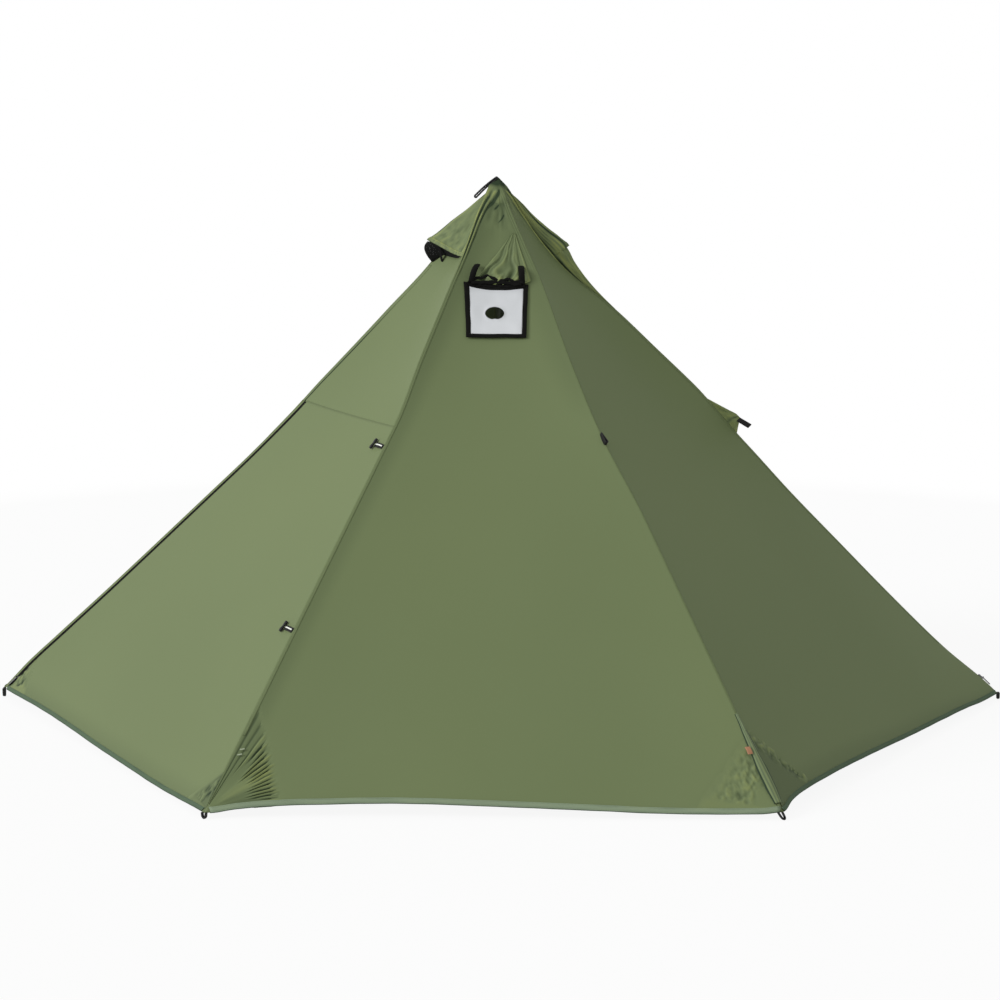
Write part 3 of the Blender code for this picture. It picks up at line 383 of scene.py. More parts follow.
@dataclass(frozen=True)
class Relief:
    """Shape of stretched cloth between its seams, with the shade and highlight painted on it."""

    hollow: float = 0.009
    pleat_depth: float = 0.0016
    pleat_reach: float = 0.40
    gather_depth: float = 0.0022
    gather_reach: float = 0.20
    swell: float = 0.0022
    left_pleats: float = 0.5
    right_pleats: float = 0.5
    right_lines: tuple[tuple[float, float, float], ...] = FINE_PLEATS
    creases: tuple[tuple[float, tuple[tuple[float, float], ...]], ...] = ()
    crease_width: float = 0.0019
    seed: float = 1.0

    def pleat(self, shape: TentShape, x: float, run: float) -> float:
        """Pleats that run down beside the ridges from the apex, from -1 to 1."""
        down = shape.length - run
        half = shape.half_width(run)
        side = math.copysign(1.0, x)
        from_ridge = half - abs(x)
        drift = 0.004 * ripple(down * 9.0, side * 3.0, self.seed)
        lines = FINE_PLEATS if x < 0 else self.right_lines
        total = sum(size * bell(from_ridge, away * (1 + 40 * drift), wide) for away, wide, size in lines)
        reach = self.pleat_reach * (1 + 0.3 * ripple(side * 2.0, 1.0, self.seed + 3.0))
        fade = smooth(down, 0.0, 0.03) * (1 - smooth(down, reach * 0.45, reach))
        broken = 0.85 + 0.6 * ripple(down * 22.0, side, self.seed + 4.0)
        return total * fade * max(broken, 0.15) * (self.left_pleats if x < 0 else self.right_pleats)

    def crease(self, shape: TentShape, x: float, run: float) -> float:
        """Painted dark and light lines of sharp single creases under the apex, from about -1 to 1; the cloth's
        shape has no such creases.
        """
        down = shape.length - run
        total = 0.0
        for strength, line in self.creases:
            start, end = line[0][0], line[-1][0]
            ends = smooth(down, start - 0.001, start + 0.008) * (1 - smooth(down, end - 0.012, end))
            total += strength * ends * bell(x, through(line, down), self.crease_width)
        return total

    def gather(self, shape: TentShape, x: float, run: float) -> float:
        """Loose creases under the apex, from about -1 to 1."""
        down = shape.length - run
        share = x / max(shape.half_width(run), 0.004)
        near = smooth(down, 0.012, 0.06) * (1 - smooth(down, self.gather_reach * 0.45, self.gather_reach))
        crease = ripple(share * 2.3 + 1.1 * ripple(down * 8.0, share, self.seed), down * 9.0, self.seed + 7.0)
        fine = ripple(share * 5.0, down * 26.0, self.seed + 8.0)
        return near * (1 - share * share) * (1.3 * crease + 0.7 * fine)

    def level(self, shape: TentShape, x: float, run: float) -> float:
        """Distance of the cloth outside its plain surface.

        Args:
            shape: The tent's lines.
            x: Sideways distance from the panel's middle line.
            run: Distance up the ridge.

        Returns:
            The level in metres.
        """
        share = min(abs(x) / max(shape.half_width(run), 0.005), 1.0)
        free = 1 - share * share
        level = -self.hollow * free * math.sin(math.pi * min(max(run / shape.length, 0.0), 1.0))
        level += self.pleat_depth * self.pleat(shape, x, run) + self.gather_depth * self.gather(shape, x, run)
        return level + self.swell * free * ripple(x * 2.6, run * 1.1, self.seed + 5.0)

    def tone(self, shape: TentShape, x: float, run: float) -> float:
        """Painted shade and highlight of the cloth, from -1, the darkest painted shade deep in folds, to 1, the
        brightest painted highlight on stretched ridges.
        """
        # Painted shade, a little darker towards the collar.
        high = 0.10 * smooth(run, shape.length * 0.76, shape.length * 0.97)
        folds = 1.15 * self.pleat(shape, x, run) + 0.40 * self.gather(shape, x, run)
        return folds + self.crease(shape, x, run) - high + 0.05 * ripple(x * 2.0, run * 1.4, self.seed + 8.0)


@dataclass(frozen=True)
class Panel:
    """One side of the tent, with the cloth's own relief."""

    shape: TentShape
    facing: Facing
    relief: Relief = field(default_factory=Relief)

    def at(self, x: float, run: float, lift: float = 0.0) -> Vector:
        """Place on the cloth, or a lift outside it."""
        return self.bare(x, run, lift + self.relief.level(self.shape, x, run))

    def bare(self, x: float, run: float, level: float = 0.0) -> Vector:
        """Place on or over the panel's plain surface, as its ridges draw it."""
        ridge = self.shape.ridge(run)
        normal = self.shape.normal(run)
        place = Vector((x, -(ridge.x * COS_HALF + level * normal.x), ridge.y + level * normal.y))
        side = self.ridge_at(x)
        share = min(abs(x) / max(self.shape.half_width(run), 0.004), 1.0)
        bend = 3 - 1.5 * smooth(run, 1.60, 1.95)
        return self.facing.turn @ place + self.shape.drawn(side, run) * share ** bend

    def hem_run(self, share: float) -> float:
        """Run of the hem's edge at a sideways share from -1 to 1."""
        return through(HEMS.get(self.facing, PLAIN_HEM), share)

    def ridge_at(self, x: float) -> RidgeSide:
        """Ridge beside the panel on the side of a sideways distance."""
        return RidgeSide((self.facing.value + (30 if x > 0 else -30)) % 360)

    def tone(self, x: float, run: float) -> float:
        """Painted shade and highlight of the cloth at a place."""
        return self.relief.tone(self.shape, x, run)

    def out(self, run: float) -> Vector:
        """Direction square out of the panel."""
        normal = self.shape.normal(run)
        return self.facing.turn @ Vector((0.0, -normal.x, normal.y))

    def up(self, run: float) -> Vector:
        """Direction up the panel's middle line."""
        normal = self.shape.normal(run)
        return self.facing.turn @ Vector((0.0, normal.y, normal.x))

    def side(self) -> Vector:
        """Direction sideways along the panel."""
        return self.facing.turn @ Vector((1.0, 0.0, 0.0))


@dataclass
class ClothGrid:
    """Cloth made from a grid whose corners are moved to their places."""

    name: str
    columns: Sequence[float]
    rows: Sequence[float]
    place: Place
    out: Vector
    uv: Callable[[float, float], Spot] | None = None
    # Painted shade (below 0) and painted highlight (above 0) at a grid point.
    shade: Callable[[float, float], float] | None = None
    keep: Callable[[float, float], bool] | None = None
    thickness: float = 0.0007
    closed: bool = False

    def build(self) -> Object:
        """Make the piece, at the origin.

        Returns:
            The object, without its finish.
        """
        wide = len(self.columns) - 1
        high = len(self.rows) - 1
        bm = bmesh.new()
        bmesh.ops.create_grid(bm, x_segments=wide, y_segments=high, size=0.5)
        uvs = bm.loops.layers.uv.new("cloth")
        fold = bm.verts.layers.float.new("fold")
        spots = {}
        for vert in bm.verts:
            column = self.columns[round((vert.co.x + 0.5) * wide)]
            row = self.rows[round((vert.co.y + 0.5) * high)]
            spots[vert] = (column, row)
        for face in bm.faces:
            for loop in face.loops:
                spot = spots[loop.vert]
                loop[uvs].uv = self.uv(*spot) if self.uv else spot
        if self.keep:
            dropped = [f for f in bm.faces if not self.keep(*self.middle_of(f, spots))]
            bmesh.ops.delete(bm, geom=dropped, context="FACES")
        for vert in bm.verts:
            spot = spots[vert]
            vert.co = self.place(*spot)
            # Each point's painted shade and highlight goes into the fold attribute.
            vert[fold] = self.shade(*spot) if self.shade else 0.0
        if self.closed:
            bmesh.ops.remove_doubles(bm, verts=bm.verts[:], dist=0.00002)
        bm.normal_update()
        if sum((f.normal.dot(self.out) * f.calc_area() for f in bm.faces), 0.0) < 0:
            bmesh.ops.reverse_faces(bm, faces=bm.faces[:])
        return finish_mesh(self.name, bm, self.thickness)

    @staticmethod
    def middle_of(face: bmesh.types.BMFace, spots: dict[bmesh.types.BMVert, Spot]) -> Spot:
        """Middle of a grid face in the cloth's own column and row values."""
        corners = [spots[v] for v in face.verts]
        return sum(c[0] for c in corners) / len(corners), sum(c[1] for c in corners) / len(corners)


def finish_mesh(name: str, bm: bmesh.types.BMesh, thickness: float = 0.0) -> Object:
    """Turn a bmesh into a smooth-shaded object.

    Args:
        name: Name of the piece.
        bm: Its mesh, which is freed.
        thickness: Cloth thickness that is grown inward, or 0 for a closed mesh.

    Returns:
        The object, linked to the scene.
    """
    mesh = bpy.data.meshes.new(name)
    bm.to_mesh(mesh)
    bm.free()
    mesh.shade_smooth()
    mesh.set_sharp_from_angle(angle=math.radians(50))
    piece = bpy.data.objects.new(name, mesh)
    bpy.context.scene.collection.objects.link(piece)
    if thickness > 0:
        wall = piece.modifiers.new("cloth_wall", "SOLIDIFY")
        wall.thickness = thickness
        wall.offset = -1.0
    return piece


def swept(
    name: str,
    path: Path,
    width: float,
    thickness: float,
    ring: bool = False,
    crown: float = 0.0,
) -> Object:
    """Webbing or a bar with rounded edges, swept along a path.

    Args:
        name: Name of the piece.
        path: Centre, direction across the strap and direction square to its face, at each step.
        width: Width of the strap.
        thickness: Its thickness.
        ring: Whether the path's ends meet.
        crown: How far the middle of the outer face stands above its edges.

    Returns:
        The finished object.
    """
    edge = min(thickness * 0.35, width * 0.2)
    half = width / 2
    top = thickness / 2
    section = [
        (-half, -top + edge), (-half, top - edge), (-half + edge, top), (-half * 0.5, top + crown * 0.75),
        (0.0, top + crown), (half * 0.5, top + crown * 0.75), (half - edge, top), (half, top - edge),
        (half, -top + edge), (half - edge, -top), (0.0, -top), (-half + edge, -top),
    ]
    bm = bmesh.new()
    uvs = bm.loops.layers.uv.new("cloth")
    loops = []
    travelled = [0.0]
    for k, (centre, across, square) in enumerate(path):
        if k:
            travelled.append(travelled[-1] + (centre - path[k - 1][0]).length)
        verts = [bm.verts.new(centre + across * a + square * b) for a, b in section]
        loops.append([bm.edges.new((a, b)) for a, b in zip(verts, verts[1:] + verts[:1])])
    pairs = list(zip(loops, loops[1:])) + ([(loops[-1], loops[0])] if ring else [])
    for first, second in pairs:
        bmesh.ops.bridge_loops(bm, edges=first + second)
    if not ring:
        bmesh.ops.contextual_create(bm, geom=loops[0])
        bmesh.ops.contextual_create(bm, geom=loops[-1])
    bmesh.ops.recalc_face_normals(bm, faces=bm.faces[:])
    bm.verts.index_update()
    count = len(section)
    for face in bm.faces:
        for loop in face.loops:
            step, spot = divmod(loop.vert.index, count)
            loop[uvs].uv = (section[spot][0], travelled[min(step, len(travelled) - 1)])
    return finish_mesh(name, bm)


class Graph:
    """Adds and links shader nodes in one tree."""

    def __init__(self, tree: NodeTree) -> None:
        """Keep the tree that nodes are added to."""
        self.tree = tree

    def fill(self, node: Node, inputs: dict[str | int, object]) -> Node:
        """Link sockets to a node's inputs, or set plain values there.

        Args:
            node: The node.
            inputs: Sockets or plain values by input name or number.

        Returns:
            The node.
        """
        for key, value in inputs.items():
            if isinstance(value, NodeSocket):
                self.tree.links.new(value, node.inputs[key])
            else:
                node.inputs[key].default_value = value
        return node

    def add(self, kind: str, inputs: dict[str | int, object], **settings: object) -> Node:
        """Add a node.

        Args:
            kind: Node type without the leading ShaderNode.
            inputs: Sockets or plain values by input name or number.
            settings: Node properties.

        Returns:
            The node.
        """
        node = self.tree.nodes.new("ShaderNode" + kind)
        for key, value in settings.items():
            setattr(node, key, value)
        return self.fill(node, inputs)

    def math(self, operation: str, *values: object) -> NodeSocket:
        """Add a math node and return its result."""
        return self.add("Math", dict(enumerate(values)), operation=operation).outputs[0]

    def mix(self, share: object, first: object, second: object) -> NodeSocket:
        """Mix two colours and return the result."""
        return self.add("Mix", {0: share, 6: first, 7: second}, data_type="RGBA").outputs[2]

    def waves(self, vector: NodeSocket, *scales: object) -> list[NodeSocket]:
        """Sine waves along the first coordinates of a vector, one for each scale."""
        parts = self.add("SeparateXYZ", {0: vector}).outputs
        return [self.math("SINE", self.math("MULTIPLY", part, scale)) for part, scale in zip(parts, scales)]

    def seen_rays(self, *kinds: str) -> NodeSocket:
        """Mask of 1 for the given kinds of light path."""
        rays = self.add("LightPath", {}).outputs
        seen = rays[f"Is {kinds[0]} Ray"]
        for kind in kinds[1:]:
            seen = self.math("MAXIMUM", seen, rays[f"Is {kind} Ray"])
        return seen


def group_tree(
    name: str, inputs: dict[str, object], outputs: dict[str, str]
) -> tuple[Graph, object, Node]:
    """Start a shader node group.

    Args:
        name: Name of the group.
        inputs: Default value by input name: None for a vector, a number or a colour.
        outputs: Socket kind by output name.

    Returns:
        A graph on the group's tree, its input node's outputs and its output node.
    """
    tree = bpy.data.node_groups.new(name, "ShaderNodeTree")
    for label, value in inputs.items():
        kind = "Vector" if value is None else "Float" if isinstance(value, float) else "Color"
        socket = tree.interface.new_socket(label, in_out="INPUT", socket_type="NodeSocket" + kind)
        if value is not None:
            socket.default_value = value
    for label, kind in outputs.items():
        tree.interface.new_socket(label, in_out="OUTPUT", socket_type="NodeSocket" + kind)
    return Graph(tree), tree.nodes.new("NodeGroupInput").outputs, tree.nodes.new("NodeGroupOutput")


class SharedEffects:
    """Node groups that more than one finish uses."""

    def __init__(self) -> None:
        """Build every group once."""
        self.weave = self.make_weave()
        self.mottle = self.make_mottle()
        self.stitches = self.make_stitches()

    def tone(self, graph: Graph, where: NodeSocket, finish: ClothFinish | NetFinish) -> Node:
        """Add a finish's mottled tone.

        Args:
            graph: Graph of the finish's material.
            where: Coordinates that it is read at.
            finish: The finish.

        Returns:
            The group node.
        """
        return graph.add("Group", {
            "Vector": where, "Plain": (*finish.colour, 1), "Worn": (*finish.worn, 1),
            "Drift": finish.drift, "Fleck": finish.fleck,
        }, node_tree=self.mottle)

    def make_weave(self) -> NodeTree:
        """Plain weave: crossing threads as a height from 0 to 1."""
        inputs = {"Vector": None, "Across": 900.0, "Along": 900.0}
        graph, given, result = group_tree("plain_weave", inputs, {"Height": "Float"})
        across, along = graph.waves(given["Vector"], given["Across"], given["Along"])
        height = graph.math("MULTIPLY_ADD", graph.math("MULTIPLY", across, along), 0.5, 0.5)
        graph.fill(result, {"Height": height})
        return graph.tree

    def make_mottle(self) -> NodeTree:
        """Slow drift in tone and a fine fleck between two colours."""
        inputs = {"Vector": None, "Plain": WHITE, "Worn": WHITE, "Drift": 3.0, "Fleck": 260.0}
        graph, given, result = group_tree("mottled_tone", inputs, {"Color": "Color", "Mask": "Float"})
        slow = graph.add("TexNoise", {"Vector": given["Vector"], "Scale": given["Drift"], "Detail": 3.0})
        fine = graph.add("TexNoise", {"Vector": given["Vector"], "Scale": given["Fleck"], "Detail": 2.0})
        soft = graph.math("MULTIPLY", slow.outputs[0], 0.7)
        mask = graph.math("ADD", soft, graph.math("MULTIPLY", fine.outputs[0], 0.3))
        graph.fill(result, {"Color": graph.mix(mask, given["Plain"], given["Worn"]), "Mask": mask})
        return graph.tree

    def make_stitches(self) -> NodeTree:
        """Row of stitches along the second coordinate, at a distance along the first."""
        inputs = {"Vector": None, "Offset": 0.0, "Pitch": 0.0035, "Width": 0.0009}
        graph, given, result = group_tree("stitch_row", inputs, {"Mask": "Float"})
        parts = graph.add("SeparateXYZ", {0: given["Vector"]}).outputs
        away = graph.math("ABSOLUTE", graph.math("SUBTRACT", parts[0], given["Offset"]))
        on_line = graph.math("LESS_THAN", away, graph.math("MULTIPLY", given["Width"], 0.5))
        dash = graph.math("FRACT", graph.math("DIVIDE", parts[1], given["Pitch"]))
        graph.fill(result, {"Mask": graph.math("MULTIPLY", on_line, graph.math("LESS_THAN", dash, 0.68))})
        return graph.tree


def new_material(name: str) -> tuple[Material, Graph, Node]:
    """Start a material: it, a graph on its nodes and its Principled BSDF."""
    material = bpy.data.materials.new(name)
    material.use_nodes = True
    return material, Graph(material.node_tree), material.node_tree.nodes["Principled BSDF"]


class Coordinates(Enum):
    """Where a finish reads its pattern from."""

    CLOTH = "cloth"
    OBJECT = "object"


@dataclass(frozen=True)
class ClothFinish:
    """Woven or moulded finish with drift in tone, threads, optional rows of stitches and, on cloth, painted shade
    and highlight from the fold attribute.
    """

    name: str
    colour: Colour
    worn: Colour
    roughness: float
    slot: str = "tent_cloth"
    threads: float = 5200.0
    threads_along: float | None = None
    bump: float = 0.30
    bump_distance: float = 0.0003
    drift: float = 2.0
    fleck: float = 180.0
    specular: float = 0.15
    metallic: float = 0.0
    stitch_colour: Colour = (0.050, 0.064, 0.032)
    stitch_rows: tuple[float, ...] = ()
    # Tints for the painted highlight on fold ridges and the painted shade in fold hollows.
    crest: Colour = (1.85, 1.66, 1.28)
    valley: Colour = (0.16, 0.22, 0.22)
    coordinates: Coordinates = Coordinates.CLOTH

    def material(self, effects: SharedEffects) -> Material:
        """Build the material.

        Args:
            effects: Shared node groups.

        Returns:
            The material.
        """
        material, graph, shader = new_material(self.name)
        if self.coordinates is Coordinates.CLOTH:
            where = graph.add("UVMap", {}, uv_map="cloth").outputs[0]
        else:
            where = graph.add("TexCoord", {}).outputs["Object"]
        tone = effects.tone(graph, where, self)
        colour = tone.outputs["Color"]
        threads = {"Vector": where, "Across": self.threads, "Along": self.threads_along or self.threads}
        height = graph.add("Group", threads, node_tree=effects.weave).outputs["Height"]
        for row in self.stitch_rows:
            row_at = {"Vector": where, "Offset": row}
            stitches = graph.add("Group", row_at, node_tree=effects.stitches).outputs["Mask"]
            colour = graph.mix(stitches, colour, (*self.stitch_colour, 1))
            height = graph.math("ADD", height, graph.math("MULTIPLY", stitches, 3.0))
        if self.coordinates is Coordinates.CLOTH:
            # The fold attribute carries painted shade below 0 and painted highlight above 0, mixed into the colour.
            fold = graph.add("Attribute", {}, attribute_name="fold").outputs["Fac"]
            painted_shade_amount = graph.math("MAXIMUM", graph.math("MULTIPLY", fold, -1.0), 0.0)
            colour = graph.mix(painted_shade_amount, colour, self.tinted(self.valley))
            colour = graph.mix(graph.math("MAXIMUM", fold, 0.0), colour, self.tinted(self.crest))
        bump = graph.add("Bump", {"Strength": self.bump, "Distance": self.bump_distance, "Height": height})
        rough = graph.math("MULTIPLY_ADD", tone.outputs["Mask"], 0.10, self.roughness - 0.05)
        graph.fill(shader, {"Base Color": colour, "Roughness": rough, "Normal": bump.outputs[0]})
        graph.fill(shader, {"Specular IOR Level": self.specular, "Metallic": self.metallic})
        return material

    def tinted(self, tint: Colour) -> tuple[float, ...]:
        """Finish's own colour times a tint, for the painted shade and painted highlight of folds."""
        return (*(min(0.9, share * part) for share, part in zip(self.colour, tint)), 1)


@dataclass(frozen=True)
class NetFinish:
    """Fine net with open holes."""

    name: str = "vent_net_black"
    slot: str = "vent_net"
    colour: Colour = (0.004, 0.004, 0.004)
    worn: Colour = (0.010, 0.011, 0.010)
    drift: float = 30.0
    fleck: float = 700.0
    holes: float = 2 * math.pi / 0.0016
    thread: float = -0.94
    roughness: float = 0.8
    specular: float = 0.1

    def material(self, effects: SharedEffects) -> Material:
        """Build the material with holes between the threads.

        Args:
            effects: Shared node groups.

        Returns:
            The material.
        """
        material, graph, shader = new_material(self.name)
        where = graph.add("UVMap", {}, uv_map="cloth").outputs[0]
        tone = effects.tone(graph, where, self)
        threads = graph.math("MAXIMUM", *graph.waves(where, self.holes, self.holes))
        thread = graph.math("GREATER_THAN", threads, self.thread)
        rough = graph.math("MULTIPLY_ADD", tone.outputs["Mask"], 0.1, self.roughness)
        graph.fill(shader, {"Alpha": thread, "Base Color": tone.outputs["Color"], "Roughness": rough})
        graph.fill(shader, {"Specular IOR Level": self.specular})
        return material


CLOTH_GREEN = (0.131, 0.167, 0.074)
CLOTH_WORN = (0.146, 0.184, 0.086)
HEM_TAPE = {"slot": "hem_tape", "threads": 2600.0}
HEM_STITCHES = {"threads_along": 7000.0, "bump": 0.25, "drift": 7.0, "stitch_rows": (0.0155, 0.004)}
STRAPPING = {"slot": "black_webbing"}
SOLID = {"coordinates": Coordinates.OBJECT}


class Look(Enum):
    """Every finish on the tent."""

    CLOTH = ClothFinish("tent_cloth_green", CLOTH_GREEN, CLOTH_WORN, 0.60, bump=0.05)
    CLOTH_SEAM = ClothFinish(
        "seam_cloth_green", CLOTH_GREEN, CLOTH_WORN, 0.60, bump=0.08, stitch_rows=(0.002, 0.007))
    HEM_PALE = ClothFinish(
        "hem_tape_pale", (0.182, 0.236, 0.150), (0.218, 0.272, 0.182), 0.70, stitch_colour=(0.10, 0.13, 0.09),
        **HEM_TAPE, **HEM_STITCHES)
    HEM = ClothFinish(
        "hem_tape_green", (0.062, 0.098, 0.058), (0.082, 0.124, 0.074), 0.70, stitch_colour=(0.05, 0.075, 0.05),
        **HEM_TAPE, **HEM_STITCHES)
    STRIP = ClothFinish(
        "corner_strip_green", (0.148, 0.192, 0.098), (0.170, 0.216, 0.118), 0.66, threads_along=5200.0,
        bump=0.25, drift=9.0, stitch_rows=(-0.0115, 0.0115), **HEM_TAPE)
    WEBBING = ClothFinish(
        "black_webbing_ribbed", (0.005, 0.005, 0.005), (0.011, 0.011, 0.011), 0.62, threads_along=2600.0,
        bump=0.35, bump_distance=0.0004, drift=18.0, specular=0.22, **STRAPPING)
    # Strong painted highlight tint for the black binding's lighter patches.
    BOUND = ClothFinish(
        "black_binding_cloth", (0.003, 0.003, 0.003), (0.007, 0.007, 0.006), 0.70, threads=3600.0, drift=24.0,
        specular=0.05, crest=(8.0, 8.5, 5.0), **STRAPPING)
    STRIPED = ClothFinish(
        "black_webbing_striped", (0.006, 0.006, 0.006), (0.013, 0.013, 0.013), 0.60, threads_along=2600.0,
        bump=0.35, drift=18.0, **STRAPPING)
    STRIPE = ClothFinish(
        "reflective_stripe", (0.78, 0.80, 0.74), (0.66, 0.69, 0.62), 0.35, threads=3000.0, bump=0.2, drift=40.0,
        **STRAPPING)
    ZIP = ClothFinish(
        "zip_coil_black", (0.003, 0.003, 0.003), (0.007, 0.007, 0.007), 0.62, "zip_chain", threads=1200.0,
        threads_along=4200.0, bump=0.9, bump_distance=0.0006, drift=20.0, specular=0.05)
    # Painted highlight and painted shade tints for the heat cloth's folds.
    PATCH = ClothFinish(
        "heat_cloth_grey", (0.545, 0.560, 0.580), (0.615, 0.630, 0.650), 0.55, "heat_patch", threads=3400.0,
        drift=9.0, fleck=420.0, crest=(1.15, 1.15, 1.15), valley=(0.70, 0.71, 0.73))
    TAB = ClothFinish(
        "orange_tab", (0.36, 0.16, 0.085), (0.46, 0.25, 0.15), 0.7, "hem_tape", threads=3000.0, drift=60.0)
    THREAD = ClothFinish(
        "pale_thread", (0.28, 0.33, 0.22), (0.36, 0.40, 0.29), 0.7, threads=6000.0, threads_along=1500.0, bump=0.6,
        drift=90.0)
    NET = NetFinish()
    STIFFENER = ClothFinish(
        "stiffener_black", (0.004, 0.004, 0.004), (0.008, 0.008, 0.008), 0.75, threads=900.0, bump=0.10, drift=30.0,
        specular=0.05, **SOLID)
    METAL = ClothFinish(
        "dark_plated_metal", (0.10, 0.10, 0.105), (0.22, 0.22, 0.22), 0.34, threads=900.0, bump=0.04, drift=60.0,
        fleck=900.0, metallic=0.9, **SOLID)
    MOULDED = ClothFinish(
        "moulded_black", (0.014, 0.014, 0.015), (0.024, 0.024, 0.025), 0.46, "moulded_black", threads=2400.0,
        bump=0.10, drift=30.0, fleck=800.0, **SOLID)
    RUBBER = ClothFinish(
        "black_rubber", (0.017, 0.017, 0.017), (0.034, 0.033, 0.031), 0.82, threads=1500.0, bump=0.25, drift=25.0,
        fleck=500.0, **SOLID)
    TUBE = ClothFinish(
        "drawn_tube", (0.60, 0.61, 0.62), (0.70, 0.71, 0.72), 0.30, threads=60.0, threads_along=9000.0, bump=0.06,
        drift=12.0, fleck=600.0, metallic=1.0, **SOLID)


@dataclass
class Yard:
    """What every sub-assembly builds from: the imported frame, the tent's lines and the materials."""

    frame: dict
    shape: TentShape
    materials: dict[Look, Material]

    def place(self, piece: Object, look: Look, *nodes: str, body: str = "tent") -> Object:
        """Give a piece its finish, and let it ride on its body and stand for its solids.

        Args:
            piece: The finished shape.
            look: Its finish.
            nodes: Solids that it replaces.
            body: Body that it moves with.

        Returns:
            The piece.
        """
        piece.data.materials.append(self.materials[look])
        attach(piece, body)
        if nodes:
            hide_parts(*nodes)
        LOG.info("%s rides on %s", piece.name, body)
        return piece

    def dress(self, node: str, look: Look) -> None:
        """Give a solid that stays its finish."""
        materials = self.frame["nodes"][node].data.materials
        materials.clear()
        materials.append(self.materials[look])
        LOG.info("%s keeps its solid", node)


class CornerStyle(Enum):
    """How the doubled cloth at a hem corner lies."""

    PLEATED = "pleated"
    CRUMPLED = "crumpled"
    FOLDED_BACK = "folded_back"


